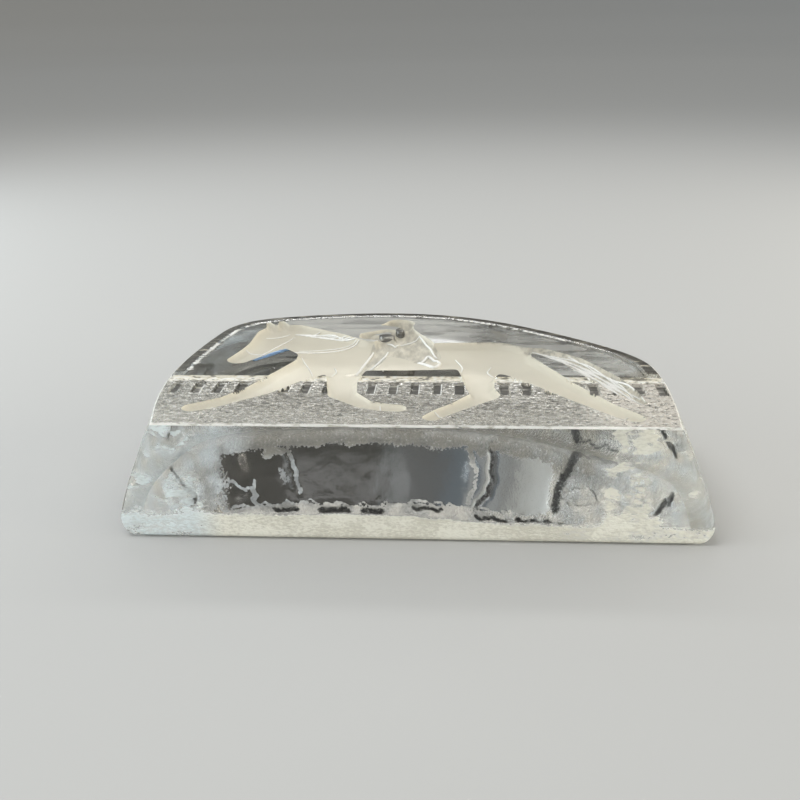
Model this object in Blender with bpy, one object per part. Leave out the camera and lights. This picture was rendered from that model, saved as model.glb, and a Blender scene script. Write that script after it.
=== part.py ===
"""Clear crystal paperweight: one thick slab with a galloping horse and its rider sunk into its face.

The slab lies on its broad flat underside. Its front face is flat and leans back a little, its
other walls flare outwards to the underside, and the upper face carries the sunk figures, a
running rail on posts behind them and a strip of turf before them.
The frame has +X to the right of the front face, +Y away from it and +Z up. The origin is on
the underside, in the middle of the footprint. Lengths are in metres.
"""

import bmesh
import bpy
import numpy as np
from mathutils import Vector

# The slab
face_width = 0.1317  # the sharp line between the front face and the upper face
face_depth = 0.1004  # upper face, from that line to its crest
slab_height = 0.0306
front_lean = 0.0030  # the front face's foot stands this far before its head
side_flare = 0.0096  # the side walls' foot stands this far outside their head
back_flare = 0.0070
flare_curve = 1.3  # 1 gives straight walls, more gives walls that swell outwards
wall_fillet = 0.0050  # between the walls and the underside
front_fillet = 0.0013
rim_width = 0.0032  # worn-down border round the upper face, except along the front
rim_drop = 0.0008

# The figures, drawn in hundredths of a square of this side that stands on the front line
drawing_side = 0.1000
drawing_offset = 0.0013  # the square's middle lies this far right of the slab's
edge_depth = 0.0012  # steep wall round the figures
swell_scale = 1.0  # how far the figures swell beyond that wall, 1 as listed below
blend_width = 0.0016  # over which limbs run into each other
rider_depth = 0.0008  # the rider lies this much deeper than the horse where they overlap

# The running rail
rail_height = 0.0315  # its lower edge, from the front line
rail_width = 0.0045
rail_depth = 0.0007
post_pitch = 0.0060
post_width = 0.0021
post_length = 0.0085
post_depth = 0.0009
post_phase = -0.0017  # one post stands this far from the drawing's middle

# Fineness of the model
corner_cuts = 4
outline_points = 66
fillet_steps = 4
wall_steps = 4
grid_pitch = 0.00085
kept_share = 0.28  # of the triangles, once flat stretches of the upper face are thinned
weld = 1.0e-6

slab_depth = front_lean + face_depth + back_flare
line_y = front_lean - slab_depth / 2
drawing_unit = drawing_side / 100

# Corners that the upper face's outline rounds off, left foot to right foot: shares of half its
# width and of its depth
FACE_CORNERS = (
    (-1.000, 0.00),
    (-1.060, 0.19),
    (-1.080, 0.42),
    (-1.035, 0.66),
    (-0.955, 0.895),
    (-0.620, 0.975),
    (-0.130, 1.012),
    (0.280, 0.945),
    (0.660, 0.765),
    (0.990, 0.545),
    (1.030, 0.36),
    (1.018, 0.13),
    (1.000, 0.00),
)

# Limbs as chains of (right, up, half width, swell), in hundredths of the drawing's side
HORSE = {
    "trunk": (
        (-28, 53, 10.2, 1.5),
        (-18, 54.3, 13.6, 2.0),
        (-6, 53.6, 12.6, 1.8),
        (8, 54.6, 12.4, 1.7),
        (19, 55.4, 12, 1.8),
    ),
    "haunch": ((19, 55, 12, 1.6), (23, 48, 9.4, 1.5)),
    "neck": ((-25, 58, 12, 1.6), (-34, 67, 11, 1.3), (-44.5, 77, 8.6, 1.2)),
    "head": ((-46.5, 76, 8.6, 1.3), (-48.4, 65, 7, 1.2), (-52, 57, 4.9, 0.9), (-55.3, 50, 3.5, 0.7)),
    "near_ear": ((-47.5, 83.5, 2.2, 0.5), (-49.6, 90, 0.7, 0.3)),
    "far_ear": ((-51, 82, 2, 0.4), (-53.6, 88.3, 0.7, 0.2)),
    "leading_foreleg": (
        (-30.5, 46.5, 8.5, 1.3),
        (-38, 35.5, 5.7, 1.0),
        (-44, 24.8, 4.3, 0.7),
        (-51.5, 16.5, 2.8, 0.5),
        (-56, 12.8, 3, 0.6),
        (-59.2, 11, 2.8, 0.6),
    ),
    "folded_foreleg": (
        (-22.4, 44.5, 6.5, 1.0),
        (-22.4, 32, 4.3, 0.8),
        (-21.2, 21.8, 3.9, 0.7),
        (-14.6, 14.2, 2.6, 0.5),
        (-9.6, 12.2, 2.7, 0.5),
        (-5.8, 11.6, 2.5, 0.5),
    ),
    "leading_hindleg": (
        (16.6, 49, 8.6, 1.3),
        (15.4, 36, 4.7, 0.9),
        (15.8, 27, 3.8, 0.7),
        (17.2, 21.6, 3.9, 0.7),
        (10.5, 13.8, 2.7, 0.5),
        (5.9, 8.9, 2.6, 0.5),
        (3.4, 5.6, 2.3, 0.5),
    ),
    "trailing_hindleg": (
        (25, 47.5, 8.4, 1.3),
        (31.6, 38, 6.4, 1.1),
        (37.7, 28.2, 4.8, 0.9),
        (42.5, 21, 4.1, 0.7),
        (47.5, 13.8, 3.2, 0.5),
        (51.5, 9, 3.1, 0.6),
        (54.2, 6.2, 2.6, 0.5),
    ),
    "tail": (
        (28.5, 60.5, 2.3, 0.4),
        (34.3, 59, 2.8, 0.4),
        (38.5, 55, 3.2, 0.5),
        (43, 50, 3.6, 0.5),
        (47, 42, 3.9, 0.5),
        (51, 34, 4, 0.5),
        (54.5, 25, 3.2, 0.4),
        (57.5, 17, 1.4, 0.2),
    ),
}
RIDER = {
    "body": ((-0.8, 60.5, 5, 1.3), (-3.8, 68, 5, 1.3), (-7.2, 75.6, 4.4, 1.2)),
    "neck": ((-6.6, 78, 2.4, 0.8), (-7.2, 83, 2.2, 0.7)),
    "head": ((-9, 87.4, 4.2, 1.2), (-10.2, 87.9, 4.1, 1.2)),
    "cap_peak": ((-11.5, 87.2, 2, 0.7), (-15, 86, 0.8, 0.4)),
    "near_arm": ((-7.5, 75, 3.2, 0.9), (-9.5, 70, 2.5, 0.8), (-19.5, 73, 2.2, 0.7)),
    "far_arm": ((-7.5, 77.5, 2.2, 0.7), (-13.5, 79.5, 1.5, 0.5), (-20, 75.4, 1.7, 0.6)),
    "thigh": ((-1, 62, 4.6, 0.9), (-13.5, 66, 3.4, 0.9)),
    "lower_leg": ((-13.8, 65.5, 3.2, 0.9), (-17.6, 49, 2.1, 0.8), (-18.3, 44, 1.8, 0.8)),
    "foot": ((-17.6, 43.4, 1.8, 0.8), (-22, 42.4, 1.2, 0.6)),
}


def clear_scene():
    for thing in list(bpy.data.objects):
        bpy.data.objects.remove(thing, do_unlink=True)


def crystal_material():
    material = bpy.data.materials.new("clear crystal")
    material.use_nodes = True
    shader = material.node_tree.nodes["Principled BSDF"]
    shader.inputs["Base Color"].default_value = (0.97, 0.98, 0.97, 1)
    shader.inputs["Roughness"].default_value = 0.03
    shader.inputs["Metallic"].default_value = 0.0
    shader.inputs["IOR"].default_value = 1.54
    shader.inputs["Transmission Weight"].default_value = 1.0
    return material


def mesh_object(name, bm, collection):
    bmesh.ops.recalc_face_normals(bm, faces=bm.faces)
    mesh = bpy.data.meshes.new(name)
    bm.to_mesh(mesh)
    bm.free()
    thing = bpy.data.objects.new(name, mesh)
    collection.objects.link(thing)
    return thing


def rounded_path(corners, count):
    """Evenly spaced points on the curve that cutting these corners again and again leaves."""
    path = np.array(corners, float)
    for _ in range(corner_cuts):
        near, far = path[:-1] * 0.75 + path[1:] * 0.25, path[:-1] * 0.25 + path[1:] * 0.75
        path = np.vstack([path[:1], np.stack([near, far], axis=1).reshape(-1, 2)[1:-1], path[-1:]])
    run = np.concatenate([[0], np.cumsum(np.hypot(*np.diff(path, axis=0).T))])
    places = np.linspace(0, run[-1], count)
    return np.column_stack([np.interp(places, run, path[:, axis]) for axis in (0, 1)])


def face_outline():
    """Upper face's outline on the ground plan, and the way out of the slab at each point."""
    corners = np.array(FACE_CORNERS) * (face_width / 2, face_depth) + (0, line_y)
    points = rounded_path(corners, outline_points)
    along = np.gradient(points, axis=0)
    outwards = np.column_stack([-along[:, 1], along[:, 0]])
    outwards /= np.hypot(*outwards.T)[:, None]
    outwards[0] = (-1, 0)
    outwards[-1] = (1, 0)
    return points, outwards


def fillet_inset(height, radius):
    """How far a fillet of this radius draws the wall in, at this height above the underside."""
    below = max(radius - height, 0)
    return radius - np.sqrt(radius**2 - below**2)


def slab_ring(points, outwards, height):
    """The slab's outline at one height, from the left end of the front face round the back."""
    rise = max((height - wall_fillet) / (slab_height - wall_fillet), 0)
    flare = side_flare * outwards[:, 0] ** 2 + back_flare * outwards[:, 1] ** 2
    offset = flare * (1 - rise**flare_curve) - fillet_inset(height, wall_fillet)
    ring = points + outwards * offset[:, None]
    front = line_y - front_lean * (1 - height / slab_height)
    front += fillet_inset(height, front_fillet)
    ring[[0, -1], 1] = front
    return np.column_stack([ring, np.full(len(ring), height)])


def ring_heights():
    """Heights of the rings: close together in the fillets, then even up the walls."""
    turns = np.linspace(0, np.pi / 2, fillet_steps + 1)
    in_fillets = [radius * (1 - np.cos(turns)) for radius in (front_fillet, wall_fillet)]
    up_walls = np.linspace(wall_fillet, slab_height, wall_steps + 1)[:-1]
    return np.unique(np.round(np.concatenate(in_fillets + [up_walls]), 7))


def chain_inside(places, chain):
    """Distance inside a limb's edge, and its swell, at each place on the drawing."""
    inside = np.full(len(places), -1.0e3)
    swell = np.zeros(len(places))
    for start, stop in zip(chain, chain[1:]):
        start, stop = np.array(start), np.array(stop)
        step = stop[:2] - start[:2]
        along = np.clip((places - start[:2]) @ step / (step @ step), 0, 1)
        away = np.hypot(*(places - start[:2] - along[:, None] * step).T)
        radius = start[2] + along * (stop[2] - start[2])
        inside = np.maximum(inside, radius - away)
        bulge = np.clip(1 - (away / radius) ** 2, 0, 1) ** 0.6
        swell = np.maximum(swell, (start[3] + along * (stop[3] - start[3])) * bulge)
    return inside, swell


def figure_fields(places, limbs):
    """A figure's limbs run together: distance inside its outline, and its swell."""
    width = blend_width / drawing_unit
    inside = np.full(len(places), -1.0e3)
    swell = np.zeros(len(places))
    for chain in limbs.values():
        limb_inside, limb_swell = chain_inside(places, chain)
        mix = np.clip(0.5 + 0.5 * (limb_inside - inside) / width, 0, 1)
        inside = inside + (limb_inside - inside) * mix + width * mix * (1 - mix)
        swell = (swell**5 + limb_swell**5) ** 0.2
    return inside * drawing_unit, swell * drawing_unit * swell_scale


def bar_inside(places, middle, half):
    """Distance inside an upright rectangle, in metres."""
    return np.min(np.array(half) - np.abs(places - np.array(middle)), axis=1)


def rail_inside(places):
    """Distance inside the running rail, and inside the nearest of its posts."""
    rail = rail_width / 2 - np.abs(places[:, 1] - rail_height - rail_width / 2)
    nearest = np.round((places[:, 0] - post_phase) / post_pitch) * post_pitch + post_phase
    beside = np.column_stack([places[:, 0] - nearest, places[:, 1]])
    middle = (0, rail_height - post_length / 2 - rail_depth)
    return rail, bar_inside(beside, middle, (post_width / 2, post_length / 2))


def outline_distance(ground):
    """Distance from each point of the ground plan to the upper face's outline."""
    points, _ = face_outline()
    nearest = np.full(len(ground), 1.0)
    for start, stop in zip(points, points[1:]):
        step = stop - start
        along = np.clip((ground - start) @ step / (step @ step), 0, 1)
        nearest = np.minimum(nearest, np.hypot(*(ground - start - along[:, None] * step).T))
    return nearest


def relief_edge(ground):
    """Distance inside the nearest outline of whatever is sunk into the upper face."""
    places = ground - (drawing_offset, line_y)
    rail, post = rail_inside(places)
    horse, rider = [figure_fields(places / drawing_unit, limbs)[0] for limbs in (HORSE, RIDER)]
    outlines = np.array([np.max([rail, post, horse, rider], axis=0), horse, rider])
    return outlines[np.abs(outlines).argmin(axis=0), np.arange(len(ground))]


def relief_depth(ground):
    """How deep the upper face is sunk at each point of the ground plan."""
    places = ground - (drawing_offset, line_y)
    rail, post = rail_inside(places)
    depth = np.maximum(rail_depth * (rail > 0), post_depth * (post > 0))
    wall = grid_pitch * 0.6
    horse_inside, horse_swell = figure_fields(places / drawing_unit, HORSE)
    rider_inside, rider_swell = figure_fields(places / drawing_unit, RIDER)
    horse = (edge_depth + horse_swell) * np.clip(horse_inside / wall, 0, 1)
    rider = (edge_depth + rider_swell) * np.clip(rider_inside / wall, 0, 1)
    both = np.minimum(horse_inside, rider_inside) > 0
    figures = np.maximum(horse, rider) + rider_depth * np.clip(rider_inside / wall, 0, 1) * both
    depth = np.where(np.maximum(horse_inside, rider_inside) > 0, figures, depth)
    rim = rim_drop * np.clip(1 - outline_distance(ground) / rim_width, 0, 1) ** 2
    return np.maximum(depth, rim)


def snap_to_edge(ground):
    """Grid points near an edge of the relief are moved onto it, so that the edge runs clean."""
    step = grid_pitch / 20
    edge = relief_edge(ground)
    slope_x = (relief_edge(ground + (step, 0)) - edge) / step
    slope_y = (relief_edge(ground + (0, step)) - edge) / step
    steepness = np.maximum(slope_x**2 + slope_y**2, 0.25)
    shift = -np.column_stack([slope_x, slope_y]) * (edge / steepness)[:, None]
    near = np.hypot(*shift.T) < grid_pitch * 0.48
    return np.where(near[:, None], ground + shift, ground)


def trimmed_grid():
    """A fine flat grid, cut along the upper face's outline and snapped to the relief's edges."""
    points, _ = face_outline()
    half = np.abs(points).max(axis=0) + 2 * grid_pitch
    columns, rows = np.ceil(2 * half / grid_pitch).astype(int)
    bm = bmesh.new()
    bmesh.ops.create_grid(bm, x_segments=columns, y_segments=rows, size=1)
    flat = np.array([vert.co for vert in bm.verts])[:, :2] * half
    for vert, place in zip(bm.verts, snap_to_edge(flat)):
        vert.co = (*place, slab_height)
    closed = np.vstack([points, points[:1]])
    for start, stop in zip(closed, closed[1:]):
        bmesh.ops.bisect_plane(
            bm,
            geom=bm.verts[:] + bm.edges[:] + bm.faces[:],
            dist=weld,
            plane_co=(*start, slab_height),
            plane_no=Vector((start[1] - stop[1], stop[0] - start[0], 0)).normalized(),
            clear_outer=True,
        )
    return bm


def border_stretches(bm, points):
    """For each side of the outline, the grid's border vertices along it, corner to corner."""
    places = {vert: Vector(vert.co[:2]) for vert in bm.verts if vert.is_boundary}
    first, second = Vector(points[0]), Vector(points[1])
    loop = [min(places, key=lambda vert: (places[vert] - first).length)]
    neighbours = [edge.other_vert(loop[0]) for edge in loop[0].link_edges if edge.is_boundary]
    loop.append(min(neighbours, key=lambda vert: (places[vert] - second).length))
    while loop[-1] != loop[0]:
        ahead = [edge.other_vert(loop[-1]) for edge in loop[-1].link_edges if edge.is_boundary]
        loop.append(ahead[0] if ahead[0] != loop[-2] else ahead[1])
    run = np.array([places[vert] for vert in loop[:-1]])
    marks = [int(np.hypot(*(run - point).T).argmin()) for point in points] + [len(loop) - 1]
    return [loop[mark : further + 1] for mark, further in zip(marks, marks[1:])]


def centre_footprint(bm):
    """Stands the slab on the ground with the middle of its footprint over the origin."""
    places = np.array([vert.co for vert in bm.verts])
    lowest, highest = places.min(axis=0), places.max(axis=0)
    middle = (lowest + highest) / 2
    bmesh.ops.translate(bm, vec=(-middle[0], -middle[1], -lowest[2]), verts=bm.verts)


def make_block(collection):
    """The whole slab: the upper face with its relief, then rings of wall down to the underside."""
    points, outwards = face_outline()
    bm = trimmed_grid()
    stretches = border_stretches(bm, points)
    ground = np.array([vert.co for vert in bm.verts])[:, :2]
    for vert, depth in zip(bm.verts, relief_depth(ground)):
        vert.co.z -= depth
    relief_size = len(bm.verts)
    rings = []
    for height in ring_heights():
        rings.append([bm.verts.new(place) for place in slab_ring(points, outwards, height)])
    count = len(points)
    for lower, upper in zip(rings, rings[1:]):
        for i in range(count):
            j = (i + 1) % count
            bm.faces.new((lower[i], lower[j], upper[j], upper[i]))
    for i, stretch in enumerate(stretches):
        bm.faces.new((rings[-1][i], rings[-1][(i + 1) % count], *reversed(stretch)))
    bm.faces.new(rings[0])
    centre_footprint(bm)
    block = mesh_object("crystal_block", bm, collection)
    upper_face = block.vertex_groups.new(name="upper face")
    upper_face.add(range(relief_size), 1.0, "REPLACE")
    thin = block.modifiers.new("thin flat stretches", "DECIMATE")
    thin.vertex_group = upper_face.name
    thin.ratio = kept_share
    return block


def main():
    clear_scene()
    parts = bpy.data.collections.new("crystal horse paperweight")
    bpy.context.scene.collection.children.link(parts)
    block = make_block(parts)
    block.data.materials.append(crystal_material())


main()
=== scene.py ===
"""Clear crystal paperweight with a galloping horse and its rider sunk into its face.

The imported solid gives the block's place and size. This script builds the same block again with
the fine work that the solid leaves out: the grain of the turf, the folds of the rider's silks,
the strands of mane and tail, the beaded border and the ripples of the moulded walls.
Lengths are in metres. +X runs to the right along the front face, +Y away from it and +Z up.
"""

import math

import bmesh
import bpy
import numpy as np
from bpy.props import FloatProperty, FloatVectorProperty, IntProperty, PointerProperty
from mathutils import Matrix, Vector
from mathutils.geometry import delaunay_2d_cdt


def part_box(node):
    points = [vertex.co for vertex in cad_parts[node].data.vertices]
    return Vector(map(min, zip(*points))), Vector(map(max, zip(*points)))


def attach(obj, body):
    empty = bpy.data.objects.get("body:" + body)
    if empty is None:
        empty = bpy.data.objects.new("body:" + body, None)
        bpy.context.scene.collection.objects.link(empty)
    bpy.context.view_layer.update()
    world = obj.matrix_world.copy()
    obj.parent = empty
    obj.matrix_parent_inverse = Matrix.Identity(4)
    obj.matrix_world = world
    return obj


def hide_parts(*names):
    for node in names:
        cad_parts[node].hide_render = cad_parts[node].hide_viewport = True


bl_info = {
    "name": "Crystal Horse Paperweight",
    "version": (1, 0, 0),
    "blender": (4, 5, 0),
    "location": "3D View > Sidebar > Paperweight",
    "description": "Builds a clear crystal block with a horse and rider sunk into its face",
    "category": "Add Mesh",
}

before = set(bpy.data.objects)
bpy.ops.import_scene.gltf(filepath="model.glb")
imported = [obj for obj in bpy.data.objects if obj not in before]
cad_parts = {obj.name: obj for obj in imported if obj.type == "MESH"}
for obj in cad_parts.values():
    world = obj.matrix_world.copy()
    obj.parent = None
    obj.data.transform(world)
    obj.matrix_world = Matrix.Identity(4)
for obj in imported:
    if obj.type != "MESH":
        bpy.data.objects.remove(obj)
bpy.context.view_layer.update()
BLOCK_LOW, BLOCK_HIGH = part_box("crystal_block")

# The slab, as in the solid
FACE_WIDTH = 0.1317
FACE_DEPTH = 0.1004
SLAB_HEIGHT = 0.0306
FRONT_LEAN = 0.0030
SIDE_FLARE = 0.0096
BACK_FLARE = 0.0070
FLARE_CURVE = 1.3
WALL_FILLET = 0.0050
FRONT_FILLET = 0.0013
RIM_WIDTH = 0.0032
RIM_DROP = 0.0002
BEAD_INSET = 0.0039
GROOVE_WIDTH = 0.0020
GROOVE_DEPTH = 0.00035
ARRIS = 0.00055
FRONT_PITCH = 0.0014
SLAB_DEPTH = FRONT_LEAN + FACE_DEPTH + BACK_FLARE
LINE_Y = FRONT_LEAN - SLAB_DEPTH / 2

# The figures, as in the solid
UNIT = 0.001
DRAWING_ORIGIN = (0.0013, LINE_Y)
EDGE_DEPTH = 0.0012
BLEND_WIDTH = 0.0016
RIDER_DEPTH = 0.0008
BANK_WIDTH = 0.0018

# The bank's steep part: its share of the depth, and its width in millimetres
STEEP_SHARE = 0.3
STEEP_WIDTH = 0.25

# The running rail, as in the solid
RAIL_HEIGHT = 0.0315
RAIL_WIDTH = 0.0045
RAIL_DEPTH = 0.0007
POST_PITCH = 0.0060
POST_WIDTH = 0.0025
POST_LENGTH = 0.0085
POST_DEPTH = 0.0009
POST_PHASE = -0.0017
POST_NUMBERS = (-12, 13)

# Places round a post's foot, in millimetres, that have to be clear for its bright edge, a painted
# highlight
POST_SPOTS = ((0, 0), (0, 4), (0, 8), (1.4, 4), (-1.4, 0), (1.4, 0), (1.4, 8))

# Points of the outline where only its course is wanted, and rings round the two fillets
OUTLINE_POINTS = 420
FILLET_STEPS = (5, 8)

# The upper face's mesh: clear ground's pitch against the field's, how many edge pitches the close
# places reach to either side of an edge, and how near the border the field's pitch is kept
GROUND_PITCH = 2.2
EDGE_REACH = 2.4
BORDER_REACH = 5.0

# Corners that the upper face's outline rounds off, as shares of half its width and of its depth
FACE_CORNERS = (
    (-1.000, 0.00), (-1.060, 0.19), (-1.080, 0.42), (-1.035, 0.66), (-0.955, 0.895),
    (-0.620, 0.975), (-0.130, 1.012), (0.280, 0.945), (0.660, 0.765), (0.990, 0.545),
    (1.030, 0.36), (1.018, 0.13), (1.000, 0.00),
)

# Limbs as chains of (right, up, half width, swell), in millimetres from the front line's middle
HORSE = {
    "trunk": (
        (-28, 53, 10.2, 1.5), (-18, 54.3, 13.6, 2.0), (-6, 53.6, 12.6, 1.8),
        (8, 54.6, 12.4, 1.7), (19, 55.4, 12, 1.8),
    ),
    "haunch": ((19, 55, 12, 1.6), (23, 48, 9.4, 1.5)),
    "neck": ((-25, 58, 12, 1.6), (-34, 67, 11, 1.3), (-44.5, 77, 8.6, 1.2)),
    "head": (
        (-46.5, 76, 8.6, 1.3), (-48.4, 65, 7, 1.2), (-52, 57, 4.9, 0.9), (-55.3, 50, 3.5, 0.7),
    ),
    "near_ear": ((-47.5, 83.5, 2.2, 0.5), (-49.6, 90, 0.7, 0.3)),
    "far_ear": ((-51, 82, 2, 0.4), (-53.6, 88.3, 0.7, 0.2)),
    "leading_foreleg": (
        (-30.5, 46.5, 8.5, 1.3), (-38, 35.5, 5.7, 1.0), (-44, 24.8, 4.3, 0.7),
        (-51.5, 16.5, 2.8, 0.5), (-56, 12.8, 3, 0.6), (-59.2, 11, 2.8, 0.6),
    ),
    "folded_foreleg": (
        (-22.4, 44.5, 6.5, 1.0), (-22.4, 32, 4.3, 0.8), (-21.2, 21.8, 3.9, 0.7),
        (-14.6, 14.2, 2.6, 0.5), (-9.6, 12.2, 2.7, 0.5), (-5.8, 11.6, 2.5, 0.5),
    ),
    "leading_hindleg": (
        (16.6, 49, 8.6, 1.3), (15.4, 36, 4.7, 0.9), (15.8, 27, 3.8, 0.7),
        (17.2, 21.6, 3.9, 0.7), (10.5, 13.8, 2.7, 0.5), (5.9, 8.9, 2.6, 0.5),
        (3.4, 5.6, 2.3, 0.5),
    ),
    "trailing_hindleg": (
        (25, 47.5, 8.4, 1.3), (31.6, 38, 6.4, 1.1), (37.7, 28.2, 4.8, 0.9),
        (42.5, 21, 4.1, 0.7), (47.5, 13.8, 3.2, 0.5), (51.5, 9, 3.1, 0.6),
        (54.2, 6.2, 2.6, 0.5),
    ),
    "tail": (
        (28.5, 60.5, 2.3, 0.4), (34.3, 59, 2.8, 0.4), (38.5, 55, 3.2, 0.5), (43, 50, 3.6, 0.5),
        (47, 42, 3.9, 0.5), (51, 34, 4, 0.5), (54.5, 25, 3.2, 0.4), (57.5, 17, 1.4, 0.2),
    ),
}
RIDER = {
    "body": ((-0.8, 60.5, 5, 1.3), (-3.8, 68, 5, 1.3), (-7.2, 75.6, 4.4, 1.2)),
    "neck": ((-6.6, 78, 2.4, 0.8), (-7.2, 83, 2.2, 0.7)),
    "head": ((-9, 87.4, 4.2, 1.2), (-10.2, 87.9, 4.1, 1.2)),
    "cap_peak": ((-11.5, 87.2, 2, 0.7), (-15, 86, 0.8, 0.4)),
    "near_arm": ((-7.5, 75, 3.2, 0.9), (-9.5, 70, 2.5, 0.8), (-19.5, 73, 2.2, 0.7)),
    "far_arm": ((-7.5, 77.5, 2.2, 0.7), (-13.5, 79.5, 1.5, 0.5), (-20, 75.4, 1.7, 0.6)),
    "thigh": ((-1, 62, 4.6, 0.9), (-13.5, 66, 3.4, 0.9)),
    "lower_leg": ((-13.8, 65.5, 3.2, 0.9), (-17.6, 49, 2.1, 0.8), (-18.3, 44, 1.8, 0.8)),
    "foot": ((-17.6, 43.4, 1.8, 0.8), (-22, 42.4, 1.2, 0.6)),
}

# Gaps between the rider's arm and body that stay at the face: middle and half sizes
GAPS = ((-12.9, 74.0, 2.6, 1.7), (-9.2, 80.2, 1.5, 2.3))

# Fine lines cut on the figures, and a painted blue glint along the jaw: width, and the places they
# pass
FINE_LINES = {
    "rein": (
        0.5,
        ((-52.7, 51.4), (-48.1, 55.5), (-44.7, 59.6), (-39.9, 62.6), (-33.7, 63.4), (-25.5, 66.2),
         (-20.5, 71.8)),
    ),
    "far_rein": (0.35, ((-39.8, 64.6), (-33, 66.0), (-25.8, 68.2), (-20.8, 72.8))),
    # Painted glint: a pale blue line where light splits at the jaw's edge
    "jaw_glint": (
        1.9,
        ((-52.7, 51.4), (-50.4, 54.2), (-48.1, 56.3), (-44.7, 60.2), (-41.6, 62.2), (-39.3, 62.9)),
    ),
    "cheek_strap": (0.35, ((-43.5, 79.5), (-46.2, 72.4), (-49.2, 64.5), (-51.8, 56.6))),
    "nose_band": (0.35, ((-55.6, 61.2), (-52.2, 60.4), (-48.0, 60.6))),
    "brow_band": (0.35, ((-52.4, 77.0), (-48.6, 78.6), (-45.4, 81.6))),
    "hands": (0.8, ((-22.0, 72.2), (-19.5, 73.1), (-15.8, 73.2))),
    "boot_front": (0.7, ((-16.6, 64.6), (-18.7, 54.2), (-19.8, 43.6))),
    "boot_back": (0.7, ((-12.0, 64.7), (-14.3, 58.2), (-16.6, 50.3), (-17.2, 44.4))),
    "sleeve": (0.45, ((-17.4, 72.0), (-13.0, 70.2), (-9.9, 67.2))),
    "rider_front": (0.5, ((-9.9, 67.2), (-7.3, 71.5), (-2.8, 76.0))),
    "rider_back": (0.6, ((-2.8, 76.0), (0.1, 68.2), (3.2, 60.8))),
    "cloth_top": (0.8, ((-2.4, 56.0), (-0.6, 59.4), (0.3, 63.2), (2.6, 59.0), (4.3, 55.3))),
    "cloth_foot": (0.9, ((4.3, 55.3), (3.0, 50.6), (1.4, 52.6), (0.4, 53.7), (-2.4, 56.0))),
    "girth": (0.45, ((-12.3, 48.9), (-11.9, 44.5), (-11.6, 40.1))),
    "shoulder": (0.35, ((-37.5, 55.6), (-34.0, 48.2), (-32.2, 42.1))),
    "elbow": (0.35, ((-27.0, 50.5), (-25.4, 45.2), (-26.4, 40.6))),
    "flank": (0.35, ((8.8, 58.5), (11.2, 52.0), (10.6, 46.2))),
    "stifle": (0.35, ((19.4, 52.8), (17.8, 46.8), (19.8, 41.4))),
    "neck_top": (0.45, ((-41.4, 81.2), (-38.2, 79.9), (-30.9, 77.6), (-26.5, 73.8))),
    "near_fetlock": (0.35, ((-55.0, 15.3), (-56.9, 10.7))),
    "folded_fetlock": (0.35, ((-10.4, 14.8), (-9.4, 9.7))),
    "hind_fetlock": (0.35, ((4.0, 10.4), (7.4, 8.0))),
    "trailing_fetlock": (0.35, ((49.8, 7.2), (53.0, 9.9))),
}
BLUE_GLINT_LINES = ("jaw_glint",)

# Hairs of the tail and the mane, in millimetres: the mane's first root and the step to the next
STRAND_COUNT = 13
STRAND_WIDTH = 0.42
MANE_COUNT = 11
MANE_START = (-43.5, 81.6)
MANE_STEP = (1.75, -0.86)

# Marks left in the curved walls by the mould: half width, depth, how sharp the foot is, how dark it
# is painted, as painted shade, or, below 0, how pale, and its places: how far round from the left
# end, and how high
WALL_MARKS = {
    "left_crack": (
        2.2, 0.5, 1.2, 1.0,
        ((71, 4.5), (74.5, 9), (76, 13), (80.5, 16.5), (75.5, 18), (69.5, 20.5), (65, 23)),
    ),
    "light_streak": (1.8, 0.3, 1.2, -0.8, ((110.5, 7.5), (111.5, 11), (113, 15), (114, 22.5))),
    "dark_beside_streak": (1.4, 0.2, 1.2, 0.6, ((109, 8), (110, 11.5), (111, 15.5), (111.5, 20))),
    "blue_patch": (3.4, 0.2, 1.0, -0.85, ((104.5, 9), (109.5, 8.5))),
    "smudge": (3.0, 0.15, 1.0, -0.62, ((108.5, 15), (109.5, 18.5))),
    "left_scratch": (
        1.1, 0.2, 1.0, -0.9, ((93, 16.5), (95, 18), (96.5, 20), (98.5, 19.5), (100, 17))
    ),
    "left_branch": (1.5, 0.2, 1.0, -0.9, ((99, 20), (100, 22.5), (99, 25.5))),
    "left_lens_edge": (
        2.0, 0.3, 1.6, -0.7, ((166, 4.5), (166.5, 9), (168.5, 14), (169.5, 20), (167.5, 24.5))
    ),
    "upper_patch": (4.2, 0.2, 1.0, -0.9, ((170, 8), (173.5, 5), (179, 2.5))),
    "dark_curve": (
        2.4, 0.45, 1.5, 0.85, ((173, 3.5), (173, 8), (174.5, 15.5), (173.5, 20), (170, 25.5))
    ),
    "dark_band": (
        4.6, 0.25, 1.7, 0.9, ((202.5, 2), (200, 5), (198.5, 8.5), (196.5, 16.5), (197, 20.5))
    ),
    "small_lens_edge": (
        1.5, 0.35, 1.4, 0.6,
        ((198, 15), (202.5, 13), (207.5, 12.5), (211.5, 14), (210, 17), (203.5, 19), (198, 16.5)),
    ),
    "right_line": (1.8, 0.3, 1.2, 0.8, ((204, 2), (216.5, 2))),
    "right_crack": (2.8, 0.6, 1.2, 1.0, ((234, 8.5), (231.5, 14.5), (229, 18.5))),
    "right_blot": (3.4, 0.4, 1.0, 0.9, ((235.5, 8.5), (236, 6.5))),
}

# The ragged line near the head of the wall: places from left to right, and the height there
HEAD_LINE = (
    (-58, 24.8), (-46, 25), (-38, 25.2), (-30, 26.2), (-22, 26.7), (-11, 26.7), (-3, 25.7),
    (18, 25.6), (26, 25.2), (38, 23.6), (44, 22.6),
)

# The line's own half width, depth, sharpness and tone, and the hollows' last three
HEAD_LINE_MARK = (0.8, 0.1, 1.0, -0.9)
HEAD_EYE_MARK = (0.3, 1.0, 1.0)
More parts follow.
